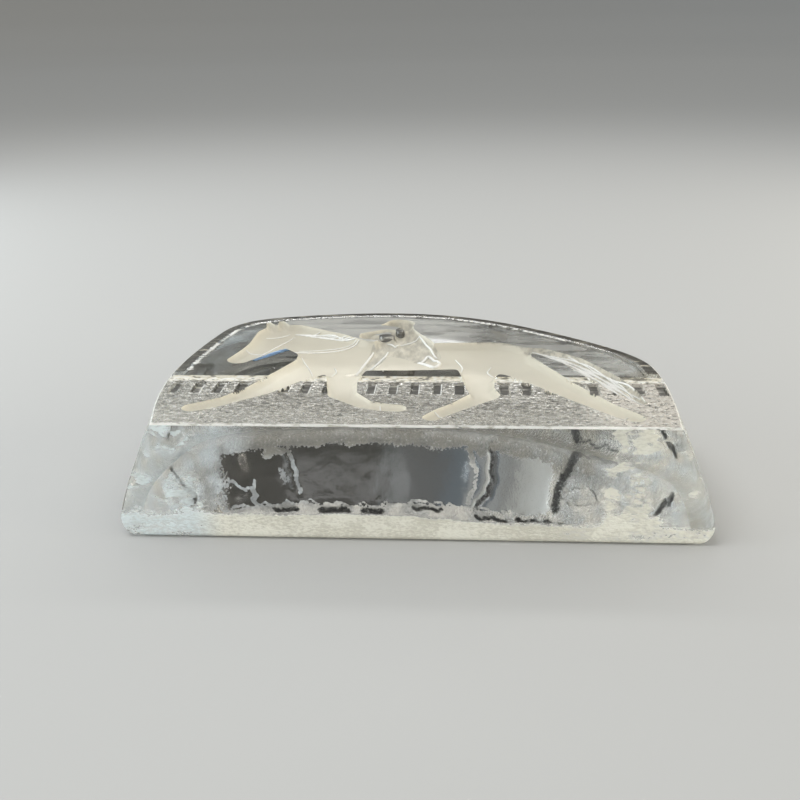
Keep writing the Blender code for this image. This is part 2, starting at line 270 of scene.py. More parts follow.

# Hollows above that line, painted dark as painted shade: half width, and the ends, right and up
HEAD_EYES = (
    (2.2, (-46, 26.6), (-39, 27)),
    (3.8, (-31, 28), (-23, 28.4)),
    (3.2, (-18, 28.8), (-12, 28.7)),
    (1.8, (-2, 27.2), (7, 27.4)),
    (2.0, (18, 27.8), (27.5, 27.6)),
    (3.2, (30.5, 26.8), (44, 24.8)),
)

# The marks' runs and how far their corners wander, in millimetres, less for a mark whose half
# width is more than WIDE_MARK. The dark core has a share of the half width, and a least width.
# Pale marks are shallower, with a wider core
MARK_STEP = 1.7
MARK_WANDER = 0.55
WIDE_MARK = 1.6
MARK_CORE = (0.5, 0.5)
PALE_DEPTH, PALE_CORE = 0.3, 1.3

# Spans over which each effect rises from none to full, in millimetres on the drawing: to the
# left or the right of its middle, up the upper face, back from the front line, or in height
RIM_UP, RIM_FINISH_UP = (33, 45), 39
BEADS_ABOVE, BEADS_LEFT_OF = 41, 42
HOLLOWS_LEFT, HOLLOWS_RIGHT, HOLLOWS_BACK = (44, 62), (42, 52), (1.0, 9.0)
HAZE_LEFT, HAZE_RIGHT, HAZE_BACK = (56, 74), (34, 43), (-1.0, 3.0)
HAZE_FOOT = (10.5, 5.0)
MIST_UP, MIST_HIGH, MIST_BORDER = (36, 38), (58, 70), (4.2, 7.5)
MIST_RIGHT, MIST_MIDDLE, MIST_LEFT_END = (16, 28), (34, 0), (46, 54)
VEIL_FOOT, VEIL_FOOT_RISE, VEIL_FOOT_ENDS = (8.2, 5.4), (2, 16), (34, 48)
VEIL_LEFT, VEIL_RIGHT, VEIL_RIGHT_END = (50, 57), (43, 49), (57, 63)

# Finishes of the faces, in the order of their materials
CLEAR, WALL, RIM, PAINTED_SHADE_CUT, ARRIS_EDGE, TURF = range(6)
RAIL, FIGURE, SILKS, TAIL, UNDERSIDE, FRONT = range(6, 12)

# Noise of the scratches along the border: size, detail and stretch
BORDER_STREAKS = (0.0011, 3.0, (7, 1.4, 1))
CRYSTAL_IOR = 1.54

# Inputs of the surface's tree, which are sizes of the crystal too
SURFACE_INPUTS = (
    "Grain Height", "Grain Size", "Facet Depth", "Facet Width", "Facet Stretch", "Lump Height",
    "Lump Size",
)

# The dim screen behind the block: degrees from straight back, positive to the right, and colour
SCREEN_ELEVATIONS = (-4, 24)
SCREEN_SPREAD = 45
SCREEN_PANELS = (
    (-44, (0.90, 0.86, 0.74)), (-28, (0.72, 0.69, 0.60)), (-22, (0.48, 0.48, 0.44)),
    (-16.9, (0.36, 0.36, 0.33)), (-16.1, (0.13, 0.13, 0.12)), (-15.2, (0.30, 0.31, 0.30)),
    (-13.2, (0.26, 0.27, 0.27)), (-11.6, (0.115, 0.138, 0.150)), (-9.6, (0.105, 0.125, 0.14)),
    (-8.8, (0.095, 0.098, 0.095)), (-6.3, (0.105, 0.108, 0.105)), (-5.4, (0.125, 0.14, 0.14)),
    (-5.2, (0.030, 0.029, 0.023)), (10, (0.038, 0.036, 0.030)), (22, (0.30, 0.33, 0.35)),
    (44, (0.50, 0.56, 0.60)),
)

# The floor's flat part, and the height and reach of each step of its rim
FLOOR_RADIUS = 3.0
FLOOR_RIM = ((0.03, 3.3), (0.12, 3.55), (0.28, 3.7), (0.5, 3.78))

# The camera: azimuth, elevation and roll in degrees, and what it looks at from how far
CAMERA_ANGLES = (4.0, 21.017, -1.0)
CAMERA_AIM = (-0.004581, -0.004258, 0.01885)
CAMERA_DISTANCE = 0.29622


def length_property(name, description, default, least=0.0):
    """A length in metres, shown to a hundredth of a millimetre."""
    return FloatProperty(
        name=name, description=description, default=default, min=least, unit="LENGTH", precision=5
    )


def colour_property(name, description, default):
    """A colour, as three shares from 0 to 1."""
    return FloatVectorProperty(
        name=name, description=description, default=default, subtype="COLOR", size=3, min=0, max=1
    )


def number_property(kind, name, description, default, **limits):
    return kind(name=name, description=description, default=default, **limits)


class CrystalSizes(bpy.types.PropertyGroup):
    """Sizes and colours of the crystal block"""

    edge_pitch: length_property(
        "Edge Pitch", "Spacing of the mesh along the edges of the relief", 0.00032, 0.0002
    )
    field_pitch: length_property(
        "Field Pitch", "Spacing of the mesh on the figures and the turf", 0.00055, 0.0003
    )
    outline_points: number_property(
        IntProperty, "Outline Points", "Points round the curved walls", 620, min=60
    )
    wall_rings: number_property(
        IntProperty, "Wall Rings", "Rings of mesh from the underside to the upper face", 46, min=16
    )
    grain_height: length_property("Grain Height", "Height of the turf's stippled grains", 0.00022)
    grain_size: length_property("Grain Size", "Width of one grain of the turf", 0.0011)
    facet_depth: length_property("Facet Depth", "Depth of the walls' moulded hollows", 0.0004)
    facet_width: length_property("Facet Width", "Width of one moulded hollow", 0.020)
    facet_stretch: number_property(
        FloatProperty, "Facet Stretch", "Height of a moulded hollow against its width", 2.4, min=0.2
    )
    lump_height: length_property("Lump Height", "Height of the walls' small lumps", 0.00016)
    lump_size: length_property("Lump Size", "Width of one small lump on the walls", 0.0045)
    surface_seed: number_property(
        IntProperty, "Surface Seed", "Picks the pattern of grains and hollows", 3
    )
    crystal_colour: colour_property(
        "Crystal Colour", "Tint of the clear crystal", (0.985, 0.99, 0.985)
    )
    figure_colour: colour_property(
        "Figure Colour", "Colour of the frosted horse and rider", (0.665, 0.62, 0.50)
    )
    turf_colour: colour_property(
        "Turf Colour", "Colour of the stippled turf", (0.53, 0.51, 0.45)
    )


class DetailSizes(bpy.types.PropertyGroup):
    """Sizes of the beads, the turf's grains, the post edges and the fine lines"""

    bead_pitch: length_property("Bead Pitch", "Spacing of the beads along the border", 0.0020)
    bead_length: length_property("Bead Length", "Length of the longest bead", 0.0036)
    bead_width: length_property("Bead Width", "Width of a bead across the border", 0.0034)
    bead_share: number_property(
        FloatProperty, "Bead Share", "Share of the places that carry a bead", 0.86, min=0, max=1
    )
    grains_per_cm: number_property(
        FloatProperty,
        "Grains per Square Centimetre",
        "Number of cut grains on each square centimetre of the turf",
        46,
        min=0,
    )
    grain_length: length_property("Grain Length", "Length of the longest cut grain", 0.0017)
    # The post edge is a painted highlight: a strip of pale frosting where light catches the post
    post_wire: length_property("Post Edge", "Width of the bright edge of a rail post", 0.00070)
    line_scale: number_property(
        FloatProperty, "Line Scale", "Width of the fine lines against their drawn width", 1.35
    )
    detail_seed: number_property(
        IntProperty, "Detail Seed", "Picks where beads and grains fall", 7
    )
    # The bright chips of the beads and the post edges are painted highlights
    grain_colour: colour_property(
        "Grain Colour", "Colour of the bright chips and lines", (0.93, 0.92, 0.87)
    )


class StageSizes(bpy.types.PropertyGroup):
    """Sizes and colours of the stage and its light"""

    floor_colour: colour_property("Floor Colour", "Colour of the floor", (0.40, 0.40, 0.39))
    light_strength: number_property(
        FloatProperty, "Light Strength", "Strength of the soft dome of light", 0.72, min=0
    )


def ease(values, start, stop):
    """0 up to start, 1 from stop on, and a smooth rise between them."""
    share = np.clip((values - start) / (stop - start), 0, 1)
    return share * share * (3 - 2 * share)


def run_along(path):
    """How far along the path each of its points lies."""
    return np.concatenate([[0], np.cumsum(np.hypot(*np.diff(path, axis=0).T))])


def evenly_spaced(path, count):
    """This many points, evenly spaced along the path."""
    run = run_along(path)
    places = np.linspace(0, run[-1], count)
    return np.column_stack([np.interp(places, run, path[:, axis]) for axis in (0, 1)])


def rounded_path(corners, count):
    """Evenly spaced points on the curve that cutting these corners again and again leaves."""
    path = np.array(corners, float)
    for _ in range(5):
        near, far = path[:-1] * 0.75 + path[1:] * 0.25, path[:-1] * 0.25 + path[1:] * 0.75
        path = np.vstack([path[:1], np.stack([near, far], axis=1).reshape(-1, 2)[1:-1], path[-1:]])
    return evenly_spaced(path, count)


def face_outline(count):
    """Upper face's outline on the ground plan, and the way out of the slab at each point."""
    corners = np.array(FACE_CORNERS) * (FACE_WIDTH / 2, FACE_DEPTH) + (0, LINE_Y)
    points = rounded_path(corners, count)
    along = np.gradient(points, axis=0)
    outwards = np.column_stack([-along[:, 1], along[:, 0]])
    outwards /= np.hypot(*outwards.T)[:, None]
    outwards[0] = (-1, 0)
    outwards[-1] = (1, 0)
    return points, outwards


def fillet_inset(height, radius):
    """How far a fillet of this radius draws the wall in, at this height above the underside."""
    below = max(radius - height, 0)
    return radius - math.sqrt(radius**2 - below**2)


def slab_ring(points, outwards, height):
    """The slab's outline at one height, from the left end of the front face round the back."""
    rise = max((height - WALL_FILLET) / (SLAB_HEIGHT - WALL_FILLET), 0)
    flare = SIDE_FLARE * outwards[:, 0] ** 2 + BACK_FLARE * outwards[:, 1] ** 2
    offset = flare * (1 - rise**FLARE_CURVE) - fillet_inset(height, WALL_FILLET)
    ring = points + outwards * offset[:, None]
    front = LINE_Y - FRONT_LEAN * (1 - height / SLAB_HEIGHT)
    front += fillet_inset(height, FRONT_FILLET)
    ring[[0, -1], 1] = front
    return ring


def frame_shift():
    """From the outline's own ground plan to the solid's place in the frame."""
    points, outwards = face_outline(OUTLINE_POINTS)
    heights = np.linspace(0, SLAB_HEIGHT, 80)
    rings = np.vstack([slab_ring(points, outwards, height) for height in heights])
    middle = (rings.min(axis=0) + rings.max(axis=0)) / 2
    home = (np.array(BLOCK_LOW[:2]) + np.array(BLOCK_HIGH[:2])) / 2
    return np.array([*(home - middle), BLOCK_LOW[2]])


def chain_inside(places, chain):
    """Distance inside a limb's edge, and its swell, at each place on the drawing."""
    inside = np.full(len(places), -1.0e3)
    swell = np.zeros(len(places))
    for start, stop in zip(chain, chain[1:]):
        start, stop = np.array(start), np.array(stop)
        step = stop[:2] - start[:2]
        along = np.clip((places - start[:2]) @ step / (step @ step), 0, 1)
        away = np.hypot(*(places - start[:2] - along[:, None] * step).T)
        radius = start[2] + along * (stop[2] - start[2])
        inside = np.maximum(inside, radius - away)
        bulge = np.clip(1 - (away / radius) ** 2, 0, 1) ** 0.6
        swell = np.maximum(swell, (start[3] + along * (stop[3] - start[3])) * bulge)
    return inside, swell


def figure_fields(places, limbs):
    """A figure's limbs run together: distance inside its outline, and its swell, in millimetres."""
    width = BLEND_WIDTH / UNIT
    inside = np.full(len(places), -1.0e3)
    swell = np.zeros(len(places))
    for chain in limbs.values():
        limb_inside, limb_swell = chain_inside(places, chain)
        mix = np.clip(0.5 + 0.5 * (limb_inside - inside) / width, 0, 1)
        inside = inside + (limb_inside - inside) * mix + width * mix * (1 - mix)
        swell = (swell**5 + limb_swell**5) ** 0.2
    return inside, swell


def rail_inside(places):
    """Distance inside the running rail, and inside the nearest of its posts, in millimetres."""
    right, up = places.T * UNIT
    rail = RAIL_WIDTH / 2 - np.abs(up - RAIL_HEIGHT - RAIL_WIDTH / 2)
    nearest = np.round((right - POST_PHASE) / POST_PITCH) * POST_PITCH + POST_PHASE
    middle = RAIL_HEIGHT - POST_LENGTH / 2 - RAIL_DEPTH
    beside = POST_WIDTH / 2 - np.abs(right - nearest)
    below = POST_LENGTH / 2 - np.abs(up - middle)
    return rail / UNIT, np.minimum(beside, below) / UNIT


def line_distance(places, line):
    """Distance from each place, flat or in space, to a line of straight runs."""
    nearest = np.full(len(places), 1.0e3)
    for start, stop in zip(line, line[1:]):
        step = stop - start
        along = np.clip((places - start) @ step / (step @ step), 0, 1)
        away = np.linalg.norm(places - start - along[:, None] * step, axis=1)
        nearest = np.minimum(nearest, away)
    return nearest


def gap_inside(places):
    """Distance inside the nearest of the clear gaps beside the rider's arm, in millimetres."""
    inside = np.full(len(places), -1.0e3)
    for right, up, half_width, half_height in GAPS:
        share = np.hypot((places[:, 0] - right) / half_width, (places[:, 1] - up) / half_height)
        inside = np.maximum(inside, (1 - share) * min(half_width, half_height))
    return inside


def figures_inside(places):
    """Distances inside the horse's and the rider's outline, in millimetres."""
    return [figure_fields(places, limbs)[0] for limbs in (HORSE, RIDER)]


def drawn_outline():
    """The upper face's outline on the drawing, in millimetres."""
    return (face_outline(OUTLINE_POINTS)[0] - DRAWING_ORIGIN) / UNIT


def limb_inside(places, names):
    """Distance inside the nearest of these limbs of the horse, in millimetres."""
    return np.max([chain_inside(places, HORSE[name])[0] for name in names], axis=0)


def relief_edge(places):
    """Distance inside the nearest outline of whatever is sunk into the upper face."""
    rail, post = rail_inside(places)
    horse, rider = figures_inside(places)
    gap = gap_inside(places)
    outlines = np.array([np.max([rail, post, horse, rider], axis=0), horse, rider, gap])
    return outlines[np.abs(outlines).argmin(axis=0), np.arange(len(places))]


def edge_bank(inside):
    """The bank at a figure's edge: a short steep part, then a gentle one, as engraving leaves."""
    steep = np.clip(inside / STEEP_WIDTH, 0, 1)
    return STEEP_SHARE * steep + (1 - STEEP_SHARE) * ease(inside, 0, BANK_WIDTH / UNIT)


def relief_depth(places, outline):
    """How deep the upper face is sunk at each place on the drawing, in millimetres."""
    rail, post = rail_inside(places)
    depth = np.maximum(RAIL_DEPTH * (rail > 0), POST_DEPTH * (post > 0)) / UNIT
    horse_inside, horse_swell = figure_fields(places, HORSE)
    rider_inside, rider_swell = figure_fields(places, RIDER)
    horse = EDGE_DEPTH / UNIT * edge_bank(horse_inside) + horse_swell
    rider = EDGE_DEPTH / UNIT * edge_bank(rider_inside) + rider_swell
    both = np.minimum(horse_inside, rider_inside) > 0
    lower = RIDER_DEPTH / UNIT * edge_bank(rider_inside) * both * ease(horse_inside, 0, 5)
    figures = np.maximum(horse, rider) + lower
    depth = np.where(np.maximum(horse_inside, rider_inside) > 0, figures, depth)
    depth *= ease(-gap_inside(places), -0.35, 0)
    border = line_distance(places, outline) * UNIT
    bevel = np.clip(1 - border / RIM_WIDTH, 0, 1) * RIM_DROP
    groove = np.clip(1 - ((border - BEAD_INSET) / (GROOVE_WIDTH / 2)) ** 2, 0, 1) * GROOVE_DEPTH
    fade = ease(places[:, 1], *RIM_UP)
    return np.maximum(depth, np.maximum(bevel, groove) / UNIT * fade)


def staggered_grid(low, high, pitch):
    """Places of a staggered grid over a rectangle of the drawing."""
    columns = np.arange(low[0], high[0], pitch)
    rows = np.arange(low[1], high[1], pitch * math.sqrt(3) / 2)
    right, up = np.meshgrid(columns, rows)
    right[::2] += pitch / 2
    return np.column_stack([right.ravel(), up.ravel()])


def snapped(places, reach):
    """Places near an edge of the relief are moved onto it, so that the edge runs clean."""
    step = 0.02
    edge = relief_edge(places)
    slope = np.column_stack([relief_edge(places + (step, 0)), relief_edge(places + (0, step))])
    slope = (slope - edge[:, None]) / step
    shift = -slope * (edge / np.maximum((slope**2).sum(axis=1), 0.25))[:, None]
    near = np.hypot(*shift.T) < reach
    return np.where(near[:, None], places + shift, places)


def inside_outline(places, loop):
    """Whether each place lies inside the closed loop."""
    within = np.zeros(len(places), bool)
    for (x0, y0), (x1, y1) in zip(loop, np.roll(loop, -1, axis=0)):
        if y0 == y1:
            continue
        crosses = (places[:, 1] >= min(y0, y1)) & (places[:, 1] < max(y0, y1))
        at = x0 + (places[:, 1] - y0) * (x1 - x0) / (y1 - y0)
        within ^= crosses & (places[:, 0] < at)
    return within


def upper_face_places(loop, edge_pitch, field_pitch):
    """Places of the upper face's mesh: close along the relief's edges, wide on clear ground."""
    low, high = loop.min(axis=0), loop.max(axis=0)
    chosen = []
    for pitch in (edge_pitch, field_pitch, GROUND_PITCH * field_pitch):
        places = staggered_grid(low, high, pitch)
        places = places[inside_outline(places, loop)]
        border = line_distance(places, np.vstack([loop, loop[:1]]))
        edge = relief_edge(places)
        turf = places[:, 1] * UNIT < RAIL_HEIGHT
        close = np.abs(edge) < EDGE_REACH * edge_pitch
        worked = (edge > 0) | turf | (border < BORDER_REACH)
        if pitch == edge_pitch:
            places = snapped(places[close & (border > 0.3 * field_pitch)], edge_pitch * 0.5)
        else:
            wanted = worked if pitch == field_pitch else ~worked
            places = places[~close & wanted & (border > 0.6 * pitch)]
        chosen.append(places)
    return np.vstack(chosen)


def triangulated(loop, places):
    """Corners and triangles of the upper face, the loop's points first."""
    points = [Vector(place) for place in np.vstack([loop, places])]
    sides = [(i, (i + 1) % len(loop)) for i in range(len(loop))]
    made = delaunay_2d_cdt(points, sides, [list(range(len(loop)))], 1, 1.0e-4)
    corners, triangles, came_from = made[0], made[2], made[3]
    return np.array([tuple(corner) for corner in corners]), triangles, came_from


def face_finish(middles, outline):
    """Finish of each triangle of the upper face, from where its middle lies on the drawing."""
    rail, post = rail_inside(middles)
    horse, rider = figures_inside(middles)
    others = limb_inside(middles, [name for name in HORSE if name != "tail"])
    finish = np.full(len(middles), CLEAR)
    border = line_distance(middles, outline) * UNIT
    # The border at the crest is painted dark: painted shade
    finish[(border < RIM_WIDTH) & (middles[:, 1] > RIM_FINISH_UP)] = RIM
    finish[middles[:, 1] * UNIT < RAIL_HEIGHT] = TURF
    finish[rail > 0] = RAIL
    # Posts' feet painted dim: painted shade
    finish[(post > 0) & (rail <= 0)] = PAINTED_SHADE_CUT
    finish[horse > 0] = FIGURE
    finish[(horse > 0) & (others < 0)] = TAIL
    finish[rider > 0] = SILKS
    # Gaps beside the arm painted dim: painted shade
    finish[gap_inside(middles) > 0] = PAINTED_SHADE_CUT
    return finish


def ragged_line(corners, half_width, seed):
    """The line cut into short runs that wander about it, the same way each time."""
    corners = np.array(corners, float)
    line = evenly_spaced(corners, int(run_along(corners)[-1] / MARK_STEP) + 2)
    wander = MARK_WANDER * min(1, WIDE_MARK / half_width)
    line[1:-1] += np.random.default_rng(seed).normal(0, wander, line[1:-1].shape)
    return line


def head_marks(points, run):
    """The marks along the head of the back wall, each place by how far round the wall it is."""
    behind = points[:, 1] > 0
    right = (points[behind, 0] + frame_shift()[0]) / UNIT

    def round_wall(place):
        return np.interp(place[0], right, run[behind]), place[1]

    marks = [(*HEAD_LINE_MARK, [round_wall(place) for place in HEAD_LINE])]
    for half_width, start, stop in HEAD_EYES:
        between = [(start[0] + stop[0]) / 2, (start[1] + stop[1]) / 2 + 0.3]
        places = [round_wall(place) for place in (start, between, stop)]
        marks.append((half_width, *HEAD_EYE_MARK, places))
    return marks


def marked_walls(walls, points, outwards, heights):
    """The wall's points, in metres, drawn in along the mould's marks, and how dark each is painted,
    as painted shade.
    """
    drawn = np.zeros(len(walls))
    dark = np.zeros(len(walls))
    run = run_along(points) / UNIT
    marks = [*WALL_MARKS.values(), *head_marks(points, run)]
    for seed, (half_width, depth, sharpness, tone, places) in enumerate(marks):
        line = ragged_line(places, half_width, seed)
        columns = np.abs(run - line[:, :1]).argmin(axis=1)
        rings = np.abs(heights / UNIT - line[:, 1:]).argmin(axis=1)
        line = walls[rings * len(points) + columns]
        line = line[np.r_[True, np.any(np.diff(line, axis=0) != 0, axis=1)]]
        away = line_distance(walls, line) / UNIT
        depth *= 1 if tone > 0 else PALE_DEPTH
        drawn = np.maximum(drawn, depth * UNIT * np.clip(1 - away / half_width, 0, 1) ** sharpness)
        share, least = MARK_CORE
        share *= PALE_CORE if tone < 0 else 1
        core = np.clip(1.25 - away / max(share * half_width, least), 0, 1) * tone
        dark = np.where(np.abs(core) > np.abs(dark), core, dark)
    above, below = walls[:, 2], SLAB_HEIGHT - walls[:, 2]
    drawn *= ease(above, 0.0004, 0.0020) * ease(below, 0.0010, 0.0030)
    walls[:, :2] -= np.tile(outwards, (len(heights), 1)) * drawn[:, None]
    return walls, dark


def wall_weights(right, back, heights):
    """How deep the walls' hollows are, and how hazy the walls are: at their ends, foot and head."""
    facet = ease(heights, WALL_FILLET * 0.5, WALL_FILLET * 1.6)
    facet *= ease(SLAB_HEIGHT - heights, 0.0008, 0.006) * ease(back, *HOLLOWS_BACK)
    facet *= 0.22 + 0.78 * np.maximum(ease(right, *HOLLOWS_RIGHT), ease(-right, *HOLLOWS_LEFT))
    ends = np.maximum(ease(-right, *HAZE_LEFT), ease(right, *HAZE_RIGHT) * 0.95)
    foot = ease(heights / UNIT, *HAZE_FOOT) * 0.9
    head = ease(heights / UNIT - np.interp(right, *np.array(HEAD_LINE).T), -0.5, 1.2)
    return facet, np.maximum(np.maximum(ends, foot), head) * ease(back, *HAZE_BACK)


def mist_weight(right, up, border):
    """How dull the clear ground behind the figures is; the dull streaks are also painted pale, as
    painted light.
    """
    middle = 0.8 * ease(up, *MIST_HIGH) * ease(right, *MIST_MIDDLE)
    middle *= 1 - 0.85 * ease(-right, *MIST_LEFT_END)
    mist = np.maximum(middle, 0.4 * ease(right, *MIST_RIGHT))
    return mist * ease(up, *MIST_UP) * ease(border, *MIST_BORDER)


def veil_weight(right, heights):
    """How worn the front face is, along its foot and at both ends; its pale veil there is also
    painted light.
    """
    strip_height = heights / UNIT + 1.6 * ease(right, *VEIL_FOOT_RISE)
    strip = ease(strip_height, *VEIL_FOOT) * (1 - 0.3 * ease(np.abs(right), *VEIL_FOOT_ENDS))
    right_end = ease(right, *VEIL_RIGHT) * (1 - 0.5 * ease(right, *VEIL_RIGHT_END))
    return np.maximum(strip, np.maximum(0.5 * ease(-right, *VEIL_LEFT), 0.74 * right_end))


def surface_weights(verts, top_count, outline):
    """How much grain, how deep a hollow and how much wear each corner of the mesh gets, with the
    painted highlight at the figures' edges, the mist's painted light and the veil's wear and
    painted light.
    """
    places = (verts[:, :2] - DRAWING_ORIGIN) / UNIT
    heights = verts[:, 2]
    right, up = places.T
    is_top = np.arange(len(verts)) < top_count
    figure = np.maximum(*figures_inside(places))
    border = line_distance(places, np.vstack([outline, outline[:1]]))
    turf = ease(-figure, 0.1, 0.5) * ease(RAIL_HEIGHT / UNIT + 4 - up, 0, 0.4)
    turf *= 1 - 0.8 * (rail_inside(places)[1] > 0)
    turf *= ease(border, 0.2, 0.9)
    facet, haze = wall_weights(right, up, heights)
    return {
        "turf": turf * is_top,
        "facet": facet * ~is_top,
        "haze": haze * ~is_top,
        "glint": ease(-np.abs(figure), -0.7, -0.1) * is_top,
        "mist": mist_weight(right, up, border) * is_top,
        "veil": veil_weight(right, heights),
    }


def wall_heights(count):
    """Heights of the walls' rings from the top down, closer together round the fillets."""
    front, wall = [1 - np.cos(np.linspace(0, math.pi / 2, steps)) for steps in FILLET_STEPS]
    straight = np.linspace(WALL_FILLET, SLAB_HEIGHT - ARRIS, count - 10)
    heights = np.concatenate([FRONT_FILLET * front, WALL_FILLET * wall, straight])
    return np.unique(np.round(heights, 7))[::-1]


def face_loop(points, outwards, shares):
    """The upper face's edge on the drawing: round the back from left to right, then the front."""
    front = points[-1] + (points[0] - points[-1]) * shares
    loop = np.vstack([points - outwards * ARRIS * 0.5, front])
    loop[:, 1] = np.maximum(loop[:, 1], LINE_Y + ARRIS)
    return (loop - DRAWING_ORIGIN) / UNIT


def make_block_mesh(sizes):
    """The whole block as one closed mesh, with a finish for each face."""
    points, outwards = face_outline(sizes.outline_points)
    shares = np.linspace(0, 1, int(FACE_WIDTH / FRONT_PITCH) + 1)[1:-1, None]
    loop = face_loop(points, outwards, shares)
    places = upper_face_places(loop, sizes.edge_pitch / UNIT, sizes.field_pitch / UNIT)
    corners, triangles, came_from = triangulated(loop, places)
    corner_of = {source: corner for corner, made in enumerate(came_from) for source in made}
    border = [corner_of[i] for i in range(len(loop))]
    outline = (points - DRAWING_ORIGIN) / UNIT
    depth = relief_depth(corners, outline)
    top = np.column_stack([corners * UNIT + DRAWING_ORIGIN, SLAB_HEIGHT - depth * UNIT])
    middles = np.array([corners[list(triangle)].mean(axis=0) for triangle in triangles])

    verts = [tuple(place) for place in top]
    faces = [tuple(triangle) for triangle in triangles]
    finishes = list(face_finish(middles, outline))
    heights = wall_heights(sizes.wall_rings)
    rings = np.vstack([slab_ring(points, outwards, height) for height in heights])
    walls = np.column_stack([rings, np.repeat(heights, len(points))])
    walls, dark = marked_walls(walls, points, outwards, heights)
    # Tone of the wall marks: above 0 painted shade, below 0 pale haze
    painted_crack_shade = [0.0] * len(verts)
    for ring_dark in dark.reshape(len(heights), len(points)):
        painted_crack_shade += [*ring_dark, *[0.0] * len(shares)]
    above = border
    for ring, height in zip(walls.reshape(len(heights), len(points), 3), heights):
        across = ring[-1] + (ring[0] - ring[-1]) * shares
        start = len(verts)
        verts += [tuple(place) for place in np.vstack([ring, across])]
        below = list(range(start, start + len(loop)))
        for i in range(len(loop)):
            j = (i + 1) % len(loop)
            faces.append((below[i], below[j], above[j], above[i]))
            is_front = i >= len(points) - 1
            finishes.append(ARRIS_EDGE if above is border else FRONT if is_front else WALL)
        above = below
    faces.append(tuple(above))
    finishes.append(UNDERSIDE)
    mesh = bpy.data.meshes.new("engraved_crystal")
    mesh.from_pydata(verts, [], faces)
    finish_layer = mesh.attributes.new("finish", "INT", "FACE")
    finish_layer.data.foreach_set("value", np.array(finishes, np.int32))
    weights = surface_weights(np.array(verts), len(top), outline)
    weights["painted_crack_shade"] = np.maximum(painted_crack_shade, 0)
    weights["haze"] = np.maximum(weights["haze"], np.maximum(-np.array(painted_crack_shade), 0))
    for name, weight in weights.items():
        attribute = mesh.attributes.new(name, "FLOAT", "POINT")
        attribute.data.foreach_set("value", weight.astype(np.float32))
    return mesh


def outward_and_home(mesh):
    """Faces point outwards, and the block is moved to the solid's place in the frame."""
    bm = bmesh.new()
    bm.from_mesh(mesh)
    bmesh.ops.recalc_face_normals(bm, faces=bm.faces)
    bmesh.ops.translate(bm, vec=Vector(frame_shift()), verts=bm.verts)
    bm.to_mesh(mesh)
    bm.free()


